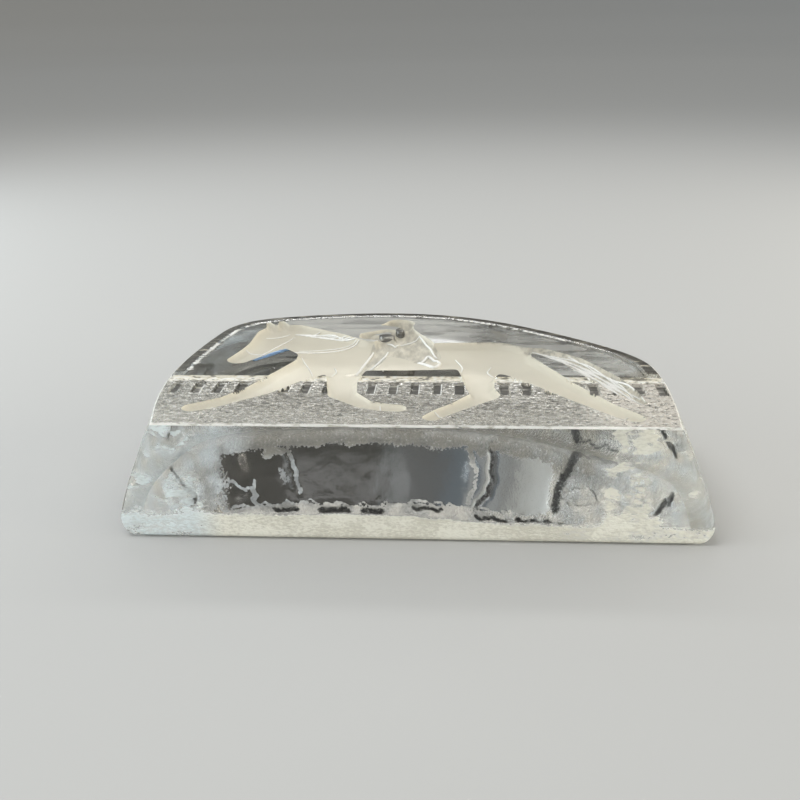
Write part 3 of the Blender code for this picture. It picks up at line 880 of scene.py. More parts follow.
class Nodes:
    """Short ways to fill a node tree. Inputs are values, or outputs of other nodes."""

    def __init__(self, tree):
        self.tree = tree

    def feed(self, made, inputs):
        for key, value in dict(inputs).items():
            if isinstance(value, bpy.types.NodeSocket):
                self.tree.links.new(value, made.inputs[key])
            else:
                made.inputs[key].default_value = value

    def add(self, kind, inputs=(), output=0, **settings):
        """Adds a node and returns one of its outputs."""
        made = self.tree.nodes.new(kind)
        for name, value in settings.items():
            setattr(made, name, value)
        self.feed(made, inputs)
        return made.outputs[output]

    def math(self, operation, *values):
        return self.add("ShaderNodeMath", enumerate(values), operation=operation)

    def times(self, value, factor, plus=None):
        """The value times a factor and, where one is given, plus a further value."""
        if plus is None:
            return self.math("MULTIPLY", value, factor)
        return self.math("MULTIPLY_ADD", value, factor, plus)

    def vector(self, operation, *values):
        return self.add("ShaderNodeVectorMath", enumerate(values), operation=operation)

    def scaled(self, vector, factor):
        return self.add("ShaderNodeVectorMath", {0: vector, "Scale": factor}, operation="SCALE")

    def join(self, *parts):
        return self.add("ShaderNodeCombineXYZ", enumerate(parts))

    def split(self, vector):
        return self.add("ShaderNodeSeparateXYZ", {0: vector}).node.outputs

    def smooth(self, value, start, stop):
        """0 at start and 1 at stop, with a smooth rise between."""
        inputs = {"Value": value, "From Min": start, "From Max": stop}
        return self.add("ShaderNodeMapRange", inputs, interpolation_type="SMOOTHSTEP")

    def ramp(self, value, stops):
        """Colours of (position, colour) pairs along a value."""
        made = self.add("ShaderNodeValToRGB", {"Fac": value}).node
        elements = made.color_ramp.elements
        while len(elements) < len(stops):
            elements.new(0.5)
        for element, (position, _) in zip(elements, stops):
            element.position = position
        for element, (_, colour) in zip(elements, stops):
            element.color = (*colour, 1)
        return made.outputs["Color"]

    def mixed(self, share, first, second):
        """First colour at 0 and second at 1. Each is three numbers or an output."""
        first, second = [
            colour if isinstance(colour, bpy.types.NodeSocket) else (*colour, 1)
            for colour in (first, second)
        ]
        inputs = {"Factor": share, 6: first, 7: second}
        return self.add("ShaderNodeMix", inputs, 2, data_type="RGBA")

    def own_place(self):
        """The place of a point of the surface, in the piece's own coordinates."""
        return self.add("ShaderNodeTexCoord", output="Object")

    def noise(self, size, detail=2.0, stretch=(1, 1, 1)):
        """Noise of this size, drawn out along the piece's axes by the stretch."""
        place = self.vector("DIVIDE", self.own_place(), stretch)
        inputs = {"Vector": place, "Scale": 1 / size, "Detail": detail, "Roughness": 0.55}
        return self.add("ShaderNodeTexNoise", inputs, noise_dimensions="3D")

    def attribute(self, name):
        return self.add("ShaderNodeAttribute", output="Fac", attribute_name=name)

    def bump(self, shader, height, depth, strength):
        inputs = {"Strength": strength, "Distance": depth, "Height": height}
        self.feed(shader, {"Normal": self.add("ShaderNodeBump", inputs)})

    def weight(self, name, kind="FLOAT"):
        """An attribute of the mesh, for a geometry tree."""
        inputs = {"Name": name}
        return self.add("GeometryNodeInputNamedAttribute", inputs, "Attribute", data_type=kind)

    def random(self, low, high, seed, salt):
        """A random number, or vector where the ends are vectors, for each point."""
        kind, first, output = ("FLOAT_VECTOR", 0, 0) if isinstance(low, tuple) else ("FLOAT", 2, 1)
        inputs = {first: low, first + 1: high, "Seed": self.math("ADD", seed, float(salt))}
        return self.add("FunctionNodeRandomValue", inputs, output, data_type=kind)

    def random_yaw(self, most, seed, salt):
        """A random turn about the vertical axis, in radians either way."""
        inputs = {0: (0, 0, 1), 1: self.random(-most, most, seed, salt)}
        return self.add("FunctionNodeAxisAngleToRotation", inputs)

    def circle(self, points, radius):
        inputs = {"Resolution": points, "Radius": radius}
        return self.add("GeometryNodeCurvePrimitiveCircle", inputs)

    def swept(self, path, section, scale):
        """The section swept along the path and closed at its ends."""
        inputs = {0: path, "Profile Curve": section, "Scale": scale, "Fill Caps": True}
        return self.add("GeometryNodeCurveToMesh", inputs)

    def pebbles(self, points, subdivisions, **inputs):
        """A ball of width 1 on each point, turned and stretched as the inputs say."""
        size = {"Radius": 0.5, "Subdivisions": subdivisions}
        ball = self.add("GeometryNodeMeshIcoSphere", size)
        inputs = {"Points": points, "Instance": ball, **inputs}
        return self.add("GeometryNodeInstanceOnPoints", inputs)

    def output(self, geometry):
        """Links the geometry to the tree's output, and returns the tree."""
        self.feed(self.tree.nodes.new("NodeGroupOutput"), {0: geometry})
        return self.tree

    def smooth_output(self, geometry, material):
        """The tree's last steps: real meshes in place of instances, smooth, with a material."""
        real = self.add("GeometryNodeRealizeInstances", {0: geometry})
        smooth = self.add("GeometryNodeSetShadeSmooth", {0: real})
        inputs = {0: smooth, "Material": material}
        return self.output(self.add("GeometryNodeSetMaterial", inputs))


def geometry_nodes(name, amounts, whole="Seed"):
    """An empty geometry tree, and its inputs: a geometry, these amounts and one whole number."""
    tree = bpy.data.node_groups.new(name, "GeometryNodeTree")
    tree.interface.new_socket("Geometry", in_out="INPUT", socket_type="NodeSocketGeometry")
    tree.interface.new_socket("Geometry", in_out="OUTPUT", socket_type="NodeSocketGeometry")
    for label in amounts:
        tree.interface.new_socket(label, in_out="INPUT", socket_type="NodeSocketFloat")
    tree.interface.new_socket(whole, in_out="INPUT", socket_type="NodeSocketInt")
    return Nodes(tree), tree.nodes.new("NodeGroupInput").outputs


def plain_mesh(carrier, tree, values):
    """Runs a tree on an object and returns the result as a plain mesh."""
    modifier = carrier.modifiers.new(tree.name, "NODES")
    modifier.node_group = tree
    for item in tree.interface.items_tree:
        if item.item_type == "SOCKET" and item.in_out == "INPUT" and item.name in values:
            modifier[item.identifier] = values[item.name]
    bpy.context.view_layer.update()
    graph = bpy.context.evaluated_depsgraph_get()
    mesh = bpy.data.meshes.new_from_object(carrier.evaluated_get(graph), depsgraph=graph)
    carrier.modifiers.remove(modifier)
    return mesh


def line_tree(material):
    """Round wires along the edges of a mesh, as wide as the attribute wire says."""
    nodes, given = geometry_nodes("fine lines", ("Line Scale",), "Sides")
    path = nodes.add("GeometryNodeMeshToCurve", {0: given[0]})
    width = nodes.times(nodes.weight("wire"), given["Line Scale"])
    wire = nodes.swept(path, nodes.circle(given["Sides"], 1.0), width)
    return nodes.smooth_output(wire, material)


def bead_tree(material):
    """Beads along a path, pale as painted highlights: random lengths and turns, with gaps between
    them.
    """
    nodes, given = geometry_nodes(
        "beads with painted highlights", ("Bead Pitch", "Bead Length", "Bead Width", "Bead Height", "Bead Share")
    )
    seed = given["Seed"]
    path = nodes.add("GeometryNodeMeshToCurve", {0: given[0]})
    inputs = {0: path, "Length": given["Bead Pitch"]}
    points = nodes.add("GeometryNodeCurveToPoints", inputs, mode="LENGTH")
    tangent = {"Vector": points.node.outputs["Tangent"]}
    along = nodes.add("FunctionNodeAlignRotationToVector", tangent, axis="X")
    inputs = {0: along, 1: nodes.random_yaw(0.35, seed, 3)}
    turn = nodes.add("FunctionNodeRotateRotation", inputs, rotation_space="LOCAL")
    full = nodes.join(given["Bead Length"], given["Bead Width"], given["Bead Height"])
    size = nodes.vector("MULTIPLY", full, nodes.random((0.3, 0.45, 0.5), (1.0, 1.0, 1.0), seed, 1))
    inputs = {0: nodes.random(0.0, 1.0, seed, 2), 1: given["Bead Share"]}
    kept = nodes.add("FunctionNodeCompare", inputs, data_type="FLOAT", operation="LESS_THAN")
    beads = nodes.pebbles(points, 2, Selection=kept, Rotation=turn, Scale=size)
    return nodes.smooth_output(beads, material)


def grain_tree(material):
    """Short cut grains scattered over the turf, all lying roughly along the front."""
    nodes, given = geometry_nodes(
        "turf grains", ("Grains per Square Metre", "Grain Length", "Ceiling")
    )
    seed, length = given["Seed"], given["Grain Length"]
    share = nodes.math("POWER", nodes.weight("turf"), 2.0)
    density = nodes.times(share, given["Grains per Square Metre"])
    inputs = {0: given[0], "Density": density, "Seed": seed}
    points = nodes.add("GeometryNodeDistributePointsOnFaces", inputs)
    inputs = {0: points, "Name": "shade", "Value": nodes.random(0.0, 1.0, seed, 5)}
    shaded = nodes.add(
        "GeometryNodeStoreNamedAttribute", inputs, data_type="FLOAT", domain="POINT"
    )
    size = nodes.scaled(nodes.random((0.25, 0.14, 0.12), (1.0, 0.30, 0.16), seed, 1), length)
    right, back, up = nodes.split(nodes.add("GeometryNodeInputPosition"))
    top = nodes.times(length, -0.08, given["Ceiling"])
    lowered = nodes.join(right, back, nodes.math("MINIMUM", up, top))
    settled = nodes.add("GeometryNodeSetPosition", {"Geometry": shaded, "Position": lowered})
    turn = nodes.random_yaw(0.45, seed, 2)
    grains = nodes.pebbles(settled, 1, Rotation=turn, Scale=size)
    return nodes.smooth_output(grains, material)


def post_highlight_tree(material):
    """The painted highlight on the right edge and foot of a rail post, repeated at every place
    given.
    """
    nodes, given = geometry_nodes("rail post highlights", ("Post Width", "Post Length", "Edge Width"))
    half = nodes.times(given["Post Width"], 0.5)
    corner, head = nodes.join(half), nodes.join(half, given["Post Length"])
    toe = nodes.join(nodes.times(given["Post Width"], -0.62))
    section = nodes.circle(6, nodes.times(given["Edge Width"], 0.5))
    joined = nodes.add("GeometryNodeJoinGeometry")
    for start, stop, bulk in ((head, corner, 0.8), (corner, toe, 1.25)):
        run = nodes.add("GeometryNodeCurvePrimitiveLine", {"Start": start, "End": stop})
        steps = nodes.add("GeometryNodeResampleCurve", {0: run, "Count": 6})
        nodes.feed(joined.node, {0: nodes.swept(steps, section, bulk)})
    scale = nodes.random((0.85, 0.86, 0.8), (1.12, 1.0, 1.0), given["Seed"], 1)
    inputs = {"Points": given[0], "Instance": joined, "Scale": scale}
    return nodes.smooth_output(nodes.add("GeometryNodeInstanceOnPoints", inputs), material)


def surface_tree(materials):
    """Grain on the turf and moulded hollows in the walls, pushed along the surface's normal."""
    nodes, given = geometry_nodes("crystal surface", SURFACE_INPUTS)
    seed, width = given["Seed"], given["Facet Width"]
    place = nodes.add("GeometryNodeInputPosition")
    drift = nodes.join(seed, seed, seed)
    drifted = nodes.vector("ADD", place, drift)
    rises = []
    for label, weight, detail, roughness in (
        ("Grain", "turf", 1.5, 0.6), ("Lump", "facet", 2.0, 0.5)
    ):
        scale = nodes.math("DIVIDE", 1.0, given[f"{label} Size"])
        inputs = {"Vector": drifted, "Scale": scale, "Detail": detail, "Roughness": roughness}
        noise = nodes.add("ShaderNodeTexNoise", inputs, noise_dimensions="3D")
        rise = nodes.times(nodes.smooth(noise, 0.70, 0.30), given[f"{label} Height"])
        rises.append(nodes.times(nodes.times(rise, -1.0), nodes.weight(weight)))
    cell = nodes.join(width, width, nodes.times(width, given["Facet Stretch"]))
    cell_place = nodes.vector("ADD", nodes.vector("DIVIDE", place, cell), drift)
    inputs = {"Vector": cell_place, "Scale": 1.0, "Randomness": 0.9}
    away = nodes.add(
        "ShaderNodeTexVoronoi", inputs, "Distance", feature="F1", voronoi_dimensions="3D"
    )
    bowl = nodes.times(nodes.math("POWER", away, 2.0), 2.2)
    bowl = nodes.math("MINIMUM", nodes.math("SUBTRACT", bowl, 1.0), 0.0)
    bowl = nodes.times(nodes.times(bowl, given["Facet Depth"]), nodes.weight("facet"))
    push = nodes.math("ADD", nodes.math("ADD", rises[0], bowl), rises[1])
    offset = nodes.scaled(nodes.add("GeometryNodeInputNormal"), push)
    moved = nodes.add("GeometryNodeSetPosition", {"Geometry": given[0], "Offset": offset})
    real = nodes.add("GeometryNodeRealizeInstances", {0: moved})
    finish = nodes.weight("finish", "INT")
    for number, material in enumerate(materials):
        inputs = {2: finish, 3: number}
        chosen = nodes.add("FunctionNodeCompare", inputs, data_type="INT", operation="EQUAL")
        inputs = {0: real, "Selection": chosen, "Material": material}
        real = nodes.add("GeometryNodeSetMaterial", inputs)
    return nodes.output(real)


def scaled_colour(colour, factor):
    return tuple(min(part * factor, 1) for part in colour)


def shades(colour, *stops):
    """Stops of a ramp in shades of one colour, from (position, factor) pairs."""
    return [(position, scaled_colour(colour, factor)) for position, factor in stops]


def new_finish(name, roughness, transmission, ior=CRYSTAL_IOR):
    """A new material by its roughness, the light it lets through and its index of refraction."""
    material = bpy.data.materials.new(name)
    material.use_nodes = True
    nodes = Nodes(material.node_tree)
    shader = material.node_tree.nodes["Principled BSDF"]
    nodes.feed(shader, {"Roughness": roughness, "IOR": ior, "Transmission Weight": transmission})
    return material, nodes, shader


def streaked_finish(name, gloss, noise, stops, bump):
    """A finish whose colour and bump follow one noise: its size, detail and stretch."""
    material, nodes, shader = new_finish(name, *gloss)
    streaks = nodes.noise(*noise)
    nodes.feed(shader, {"Base Color": nodes.ramp(streaks, stops)})
    nodes.bump(shader, streaks, *bump)
    return material


def clear_material(sizes):
    """Polished crystal, dulled in soft streaks on the ground behind the figures; the streaks' pale
    colour is painted light.
    """
    material, nodes, shader = new_finish("polished crystal", 0.0, 1.0)
    streaks = nodes.smooth(nodes.noise(0.0032, 3.0, (5, 1.2, 1)), 0.30, 0.62)
    mist = nodes.times(nodes.times(streaks, 0.55, 0.45), nodes.attribute("mist"))
    inputs = {
        # Pale where misted: painted light
        "Base Color": nodes.mixed(mist, sizes.crystal_colour, (0.74, 0.73, 0.66)),
        "Roughness": nodes.times(mist, 0.85),
        "Transmission Weight": nodes.times(mist, -0.38, 1.0),
    }
    nodes.feed(shader, inputs)
    return material


def underside_material(sizes):
    """Polished underside, tinted dim and brownish: painted shade that darkens what is seen through
    it.
    """
    material, nodes, shader = new_finish("polished underside", 0.0, 1.0)
    cloud = nodes.smooth(nodes.noise(0.012, 3.0, (2.5, 1, 1)), 0.35, 0.65)
    # Dim brownish tint: painted shade
    colour = nodes.mixed(cloud, (0.22, 0.205, 0.165), (0.40, 0.385, 0.335))
    nodes.feed(shader, {"Base Color": colour})
    return material


def front_material(sizes):
    """Front face: polished, with a worn strip along its foot and thin wear at its ends, whose pale
    colour is also painted light seen through the block, tinted cool at the left end and warm
    elsewhere as painted coloured light.
    """
    material, nodes, shader = new_finish("front face", 0.0, 1.0)
    right, _, up = nodes.split(nodes.own_place())
    fine = nodes.noise(0.0006, 3.0, (1.8, 1, 0.8))
    patches = nodes.noise(0.0075, 6.0, (1.8, 1, 0.9))
    bent = nodes.scaled(nodes.own_place(), 1 / 0.0085)
    inputs = {"Vector": nodes.vector("ADD", bent, nodes.times(patches, 3.0)), "Scale": 1.0}
    cells = nodes.add(
        "ShaderNodeTexVoronoi", inputs, feature="DISTANCE_TO_EDGE", voronoi_dimensions="3D"
    )
    gaps = nodes.math("SUBTRACT", 1.0, nodes.smooth(cells, 0.02, 0.20))
    gaps = nodes.times(gaps, nodes.smooth(up, 0.006, 0.010))
    veil = nodes.math("ADD", nodes.times(patches, 1.7, -1.02), nodes.attribute("veil"))
    veil = nodes.times(fine, 0.4, nodes.times(gaps, -0.5, veil))
    veil = nodes.smooth(veil, 0.26, 0.74)
    foot = nodes.smooth(up, 0.010, 0.007)
    # Cool at the left end and warm elsewhere: painted coloured light
    tint = nodes.mixed(
        nodes.smooth(right, -0.056, -0.046), (0.86, 0.95, 0.96), (1.0, 0.98, 0.85)
    )
    grit = nodes.smooth(nodes.times(fine, 0.7, nodes.times(patches, 0.7)), 0.58, 0.78)
    # The veil's pale colour: wear, and painted light seen through the block
    pale = nodes.mixed(grit, nodes.vector("MULTIPLY", tint, (0.78, 0.77, 0.75)), tint)
    solid = nodes.times(veil, nodes.times(foot, 0.22, 0.50))
    inputs = {
        "Base Color": nodes.mixed(veil, sizes.crystal_colour, pale),
        "Roughness": nodes.times(veil, nodes.times(foot, 0.35, 0.10)),
        "Transmission Weight": nodes.math("SUBTRACT", 1.0, solid),
    }
    nodes.feed(shader, inputs)
    nodes.bump(shader, fine, 0.0003, nodes.times(veil, foot))
    return material


def wall_material(sizes):
    """Moulded walls: clear in the middle, with ragged patches of ground haze and dark cracks, whose
    dark colour is painted shade. Painted coloured light tints them cool on the left and warm on the
    right, and painted shade makes them darker and brownish at the foot.
    """
    material, nodes, shader = new_finish("moulded wall", 0.0, 1.0)
    right, _, up = nodes.split(nodes.own_place())
    fine = nodes.noise(0.0008, 3.0)
    haze = nodes.times(nodes.noise(0.006, 5.0), 1.1, -1.05)
    haze = nodes.math("ADD", haze, nodes.attribute("haze"))
    haze = nodes.smooth(nodes.math("ADD", haze, fine), 0.42, 0.58)
    spread = nodes.smooth(nodes.noise(0.0055, 5.0), 0.40, 0.60)
    # The dark marks are painted shade: a dark, nearly opaque colour along the cracks
    painted_crack_shade = nodes.times(nodes.attribute("painted_crack_shade"), nodes.times(fine, 1.1))
    painted_crack_shade = nodes.smooth(painted_crack_shade, 0.16, 0.46)
    roughness = nodes.times(nodes.times(spread, 0.34, 0.50), haze)
    # Cool on the left and warm on the right: painted coloured light
    side = nodes.smooth(right, -0.045, 0.045)
    tint = nodes.mixed(side, (0.88, 0.96, 0.98), (1.0, 0.96, 0.84))
    tint = nodes.mixed(nodes.smooth(up, 0.0235, 0.0265), tint, (1.0, 0.96, 0.85))
    middle = nodes.smooth(nodes.math("ABSOLUTE", right), 0.062, 0.050)
    # Darker and brownish at the foot in the middle: painted shade
    foot = nodes.times(nodes.smooth(up, 0.0125, 0.0085), middle)
    tint = nodes.mixed(foot, tint, (0.50, 0.47, 0.39))
    # Random mottle of the haze's colour
    mottle_and_edge_highlight = nodes.times(nodes.smooth(fine, 0.40, 0.60), 0.45, nodes.times(spread, 0.55))
    pale = nodes.mixed(mottle_and_edge_highlight, nodes.vector("MULTIPLY", tint, (0.56, 0.57, 0.57)), tint)
    pale = nodes.mixed(nodes.smooth(fine, 0.62, 0.68), pale, (0.97, 0.97, 0.93))
    colour = nodes.mixed(haze, sizes.crystal_colour, pale)
    ground = nodes.times(nodes.times(foot, 0.32, 0.06), haze)
    solid = nodes.math("MAXIMUM", ground, painted_crack_shade)
    inputs = {
        "Base Color": nodes.mixed(painted_crack_shade, colour, (0.09, 0.088, 0.080)),
        "Roughness": nodes.math("MAXIMUM", roughness, nodes.times(painted_crack_shade, 0.5)),
        "Transmission Weight": nodes.math("SUBTRACT", 1.0, solid),
    }
    nodes.feed(shader, inputs)
    nodes.bump(shader, fine, 0.0004, nodes.times(haze, 0.9, 0.06))
    return material


def shaded_rim_material(sizes):
    """Border at the crest: painted shade, dark and brownish, with pale scratches of wear along it.
    """
    stops = [(0.46, (0.05, 0.046, 0.038)), (0.60, (0.16, 0.15, 0.125))]
    stops += shades(sizes.figure_colour, (0.72, 1.3))
    return streaked_finish("border with painted shade", (0.22, 0.5), BORDER_STREAKS, stops, (0.0003, 0.4))


def painted_shade_cut_material(sizes):
    """Foot of the posts and of the gaps beside the arm: painted shade, dim and brownish, with pale
    scratches.
    """
    stops = [(0.40, (0.035, 0.032, 0.026)), (0.56, (0.10, 0.095, 0.08))]
    stops += shades(sizes.turf_colour, (0.64, 0.9)) + shades(sizes.figure_colour, (0.74, 1.0))
    return streaked_finish("cut with painted shade", (0.35, 0.35), BORDER_STREAKS, stops, (0.0004, 0.5))


def rail_material(sizes):
    """Rail: frosted and grainy, with short dark nicks."""
    nicks = (0.0008, 2.0, (3.2, 1, 1))
    stops = [*shades(sizes.figure_colour, (0.38, 0.30), (0.46, 1.1)), (0.62, (0.85, 0.84, 0.79))]
    return streaked_finish("frosted rail", (0.5, 0.25), nicks, stops, (0.0005, 0.7))


def tail_material(sizes):
    """Tail: grainy frosting with long fine strands."""
    strands = (0.0010, 3.0, (1.6, 1.6, 1))
    stops = shades(sizes.figure_colour, (0.32, 0.45), (0.48, 0.92), (0.66, 1.2))
    return streaked_finish("frosted tail", (0.45, 0.62), strands, stops, (0.0006, 0.8))


def arris_material(sizes):
    """The sharp edges, worn to a pale frosted line with small chips."""
    chips = (0.0012, 3.0, (2.5, 1, 1))
    stops = [*shades(sizes.figure_colour, (0.34, 0.5)), (0.48, (0.84, 0.83, 0.78))]
    return streaked_finish("worn edge", (0.5, 0.5), chips, stops, (0.0003, 0.5))


def figure_material(sizes):
    """Evenly frosted horse, paler where its edges catch the light."""
    material, nodes, shader = new_finish("frosted horse", 0.72, 0.45)
    colour = sizes.figure_colour
    darker, lighter, edge = [scaled_colour(colour, factor) for factor in (0.93, 1.07, 1.22)]
    body = nodes.mixed(nodes.noise(0.009, 3.0, (1.8, 1, 1)), darker, lighter)
    # Paler ragged edges: painted highlight
    mottle_and_edge_highlight = nodes.times(nodes.attribute("glint"), nodes.noise(0.0012))
    nodes.feed(shader, {"Base Color": nodes.mixed(mottle_and_edge_highlight, body, edge)})
    nodes.bump(shader, nodes.noise(0.0004), 0.0001, 0.35)
    return material


def silks_material(sizes):
    """The rider: coarser frosting than the horse, with folds and bright ragged edges, a painted
    highlight.
    """
    material, nodes, shader = new_finish("frosted silks", 0.6, 0.5)
    folds = nodes.noise(0.0016, 3.0, (1.0, 2.6, 1))
    body = nodes.ramp(folds, shades(sizes.figure_colour, (0.30, 0.66), (0.52, 0.92), (0.70, 1.2)))
    # Bright ragged edges: painted highlight
    mottle_and_edge_highlight = nodes.times(nodes.attribute("glint"), 0.7)
    colour = nodes.mixed(mottle_and_edge_highlight, body, scaled_colour(sizes.figure_colour, 1.25))
    nodes.feed(shader, {"Base Color": colour})
    nodes.bump(shader, folds, 0.0006, 0.55)
    return material


def turf_material(sizes):
    """Stippled turf: grey, with small bright and dark grains lying along the front."""
    material, nodes, shader = new_finish("stippled turf", 0.2, 0.8)
    right, back, _ = nodes.split(nodes.own_place())
    grain = nodes.noise(0.00075, 2.0, (2.0, 1.2, 1))
    stops = shades(sizes.turf_colour, (0.34, 0.45), (0.50, 1), (0.62, 1.5), (0.70, 2.4))
    end = nodes.times(nodes.smooth(right, 0.042, 0.056), nodes.smooth(grain, 0.34, 0.46))
    near = nodes.times(nodes.smooth(back, -0.036, -0.050), 0.6)
    grey = nodes.mixed(near, nodes.ramp(grain, stops), (0.80, 0.78, 0.70))
    inputs = {
        "Base Color": nodes.mixed(end, grey, (0.56, 0.52, 0.455)),
        "Transmission Weight": nodes.times(end, -0.45, 0.68),
    }
    nodes.feed(shader, inputs)
    nodes.bump(shader, grain, 0.0006, 1.0)
    return material


def chip_material(name, sizes, roughness, transmission):
    """Bright chips of frosted crystal, some of them dim, and blue where the attribute tone is 1, a
    painted glint.
    """
    material, nodes, shader = new_finish(name, roughness, transmission)
    chips = nodes.noise(0.0007)
    colour = nodes.mixed(chips, scaled_colour(sizes.grain_colour, 0.72), sizes.grain_colour)
    # Blue where tone is 1: painted glint
    colour = nodes.mixed(nodes.attribute("tone"), colour, (0.38, 0.62, 1.0))
    nodes.feed(shader, {"Base Color": colour})
    nodes.bump(shader, chips, 0.0003, 0.4)
    return material


def grain_material(sizes):
    """Cut grains of the turf: from dark to bright, one shade for each grain; the brightest are
    painted highlights, standing in for glints.
    """
    material, nodes, shader = new_finish("cut grain", 0.32, 0.45)
    stops = [
        (0.0, (0.10, 0.098, 0.085)),
        (0.36, (0.22, 0.215, 0.19)),
        (0.45, (0.55, 0.54, 0.48)),
        # Brightest grains: painted highlights
        *shades(sizes.grain_colour, (0.85, 0.92)),
        (1.0, (0.98, 0.97, 0.93)),
    ]
    nodes.feed(shader, {"Base Color": nodes.ramp(nodes.attribute("shade"), stops)})
    nodes.bump(shader, nodes.noise(0.0003), 0.0001, 0.3)
    return material


def home_places(places, lift, ceiling):
    """Places on the drawing as points at most this high on the relief, in the frame, in metres."""
    heights = SLAB_HEIGHT - relief_depth(places, drawn_outline()) * UNIT + lift
    heights = np.minimum(heights, ceiling)
    return np.column_stack([places * UNIT + DRAWING_ORIGIN, heights]) + frame_shift()


def smoothed_path(corners, pitch=0.6):
    """Evenly spaced places, about the pitch apart, along a path with its corners rounded."""
    corners = np.array(corners, float)
    length = np.hypot(*np.diff(corners, axis=0).T).sum()
    if len(corners) == 2:
        shares = np.linspace(0, 1, max(int(length), 4))[:, None]
        return corners[0] + (corners[1] - corners[0]) * shares
    return rounded_path(corners, max(int(length / pitch), 4))


def tail_strands():
    """Places of the hairs cut along the tail, fanning out towards its tip."""
    spine = smoothed_path([place[:2] for place in HORSE["tail"]])
    along = np.linspace(0, 1, len(spine))
    step = np.gradient(spine, axis=0)
    across = np.column_stack([-step[:, 1], step[:, 0]]) / np.hypot(*step.T)[:, None]
    widths = [place[2] for place in HORSE["tail"]]
    width = np.interp(along, np.linspace(0, 1, len(widths)), widths)
    strands = []
    for number in range(STRAND_COUNT):
        share = 2 * (number + 0.5) / STRAND_COUNT - 1
        wave = 0.18 * np.sin(along * 9 + number * 2.1)
        strand = spine + across * ((share + wave) * width * 0.9)[:, None]
        first = int(len(spine) * (0.06 + 0.05 * (number * 7 % 5)))
        last = int(len(spine) * (0.99 - 0.05 * (number * 3 % 4)))
        strands.append(strand[first:last])
    return strands


def mane_strands():
    """Places of the short hairs that stream back from the neck's upper edge."""
    strands = []
    for number in range(MANE_COUNT):
        root = np.array(MANE_START) + number * np.array(MANE_STEP)
        reach = 5.2 + 1.4 * math.sin(number * 1.9)
        bend = root + (reach * 0.55, -0.9 - 0.25 * math.sin(number * 2.7))
        tip = root + (reach, -1.1 + 0.6 * math.sin(number * 1.3))
        strands.append(rounded_path([root, bend, tip], 9))
    return strands


def edge_mesh(name, runs):
    """A mesh of loose edges along each run, with its width as wire and its blueness, a painted
    glint, as tone.
    """
    verts, edges, widths, tones = [], [], [], []
    for places, radii, tone in runs:
        start = len(verts)
        verts += [tuple(place) for place in places]
        edges += [(start + i, start + i + 1) for i in range(len(places) - 1)]
        widths += list(radii)
        tones += [tone] * len(places)
    mesh = bpy.data.meshes.new(name)
    mesh.from_pydata(verts, edges, [])
    for label, values in (("wire", widths), ("tone", tones)):
        layer = mesh.attributes.new(label, "FLOAT", "POINT")
        layer.data.foreach_set("value", np.array(values, np.float32))
    return mesh


def add_object(context, name, data):
    """A new object of the scene that shows this mesh, light or camera."""
    made = bpy.data.objects.new(name, data)
    context.scene.collection.objects.link(made)
    return made


def grown_mesh(context, carrier_mesh, tree, values):
    """The plain mesh that a tree makes of a mesh, of paths or of points."""
    carrier = add_object(context, "carrier", carrier_mesh)
    mesh = plain_mesh(carrier, tree, values)
    bpy.data.objects.remove(carrier)
    return mesh


def grown_piece(context, name, carrier_mesh, tree, values):
    """Runs a tree on a mesh of paths or points, and adds the result as a piece of the crystal."""
    mesh = grown_mesh(context, carrier_mesh, tree, values)
    mesh.name = name
    piece = add_object(context, name, mesh)
    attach(piece, "root")
    return piece


class PAPERWEIGHT_OT_crystal_block(bpy.types.Operator):
    """Build the crystal block with its sunk horse, rider, rail and turf"""

    bl_idname = "paperweight.crystal_block"
    bl_label = "Crystal Block"

    def execute(self, context):
        sizes = context.scene.crystal_sizes
        mesh = make_block_mesh(sizes)
        outward_and_home(mesh)
        makers = (
            clear_material, wall_material, shaded_rim_material, painted_shade_cut_material, arris_material,
            turf_material, rail_material, figure_material, silks_material, tail_material,
            underside_material, front_material,
        )
        values = {
            label: getattr(sizes, label.lower().replace(" ", "_")) for label in SURFACE_INPUTS
        }
        values["Seed"] = sizes.surface_seed
        tree = surface_tree([maker(sizes) for maker in makers])
        mesh = grown_mesh(context, mesh, tree, values)
        places = np.empty(len(mesh.vertices) * 3)
        mesh.vertices.foreach_get("co", places)
        places = np.clip(places.reshape(-1, 3), BLOCK_LOW, BLOCK_HIGH)
        mesh.vertices.foreach_set("co", places.ravel())
        mesh.shade_smooth()
        mesh.set_sharp_from_angle(angle=math.radians(32))
        for polygon in mesh.polygons:
            if polygon.normal.z < -0.9999:
                polygon.use_smooth = False
        block = add_object(context, "engraved_crystal", mesh)
        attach(block, "root")
        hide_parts("crystal_block")
        return {"FINISHED"}


class PAPERWEIGHT_OT_fine_lines(bpy.types.Operator):
    """Cut the tack, the seams, the mane and the tail's strands into the figures, and lay a painted
    blue glint along the jaw
    """

    bl_idname = "paperweight.fine_lines"
    bl_label = "Fine Lines"

    def execute(self, context):
        details = context.scene.detail_sizes
        paths = []
        for name, (width, corners) in FINE_LINES.items():
            places = smoothed_path(corners)
            # The painted blue glint is set onto the figure's edge
            if name in BLUE_GLINT_LINES:
                places = snapped(places, 6.0)
            paths.append((width, places, name in BLUE_GLINT_LINES))
        paths += [(STRAND_WIDTH, strand, False) for strand in tail_strands() + mane_strands()]
        runs = []
        for width, places, blue in paths:
            radius = width / 2 * UNIT
            taper = np.sin(np.linspace(0.12, 0.88, len(places)) * math.pi) ** 0.5
            ceiling = SLAB_HEIGHT - radius * details.line_scale
            runs.append((home_places(places, 0.2 * radius, ceiling), radius * taper, blue))
        material = chip_material("cut line", details, 0.4, 0.15)
        values = {"Line Scale": details.line_scale, "Sides": 6}
        grown_piece(
            context, "fine_lines", edge_mesh("lines", runs), line_tree(material), values
        )
        return {"FINISHED"}


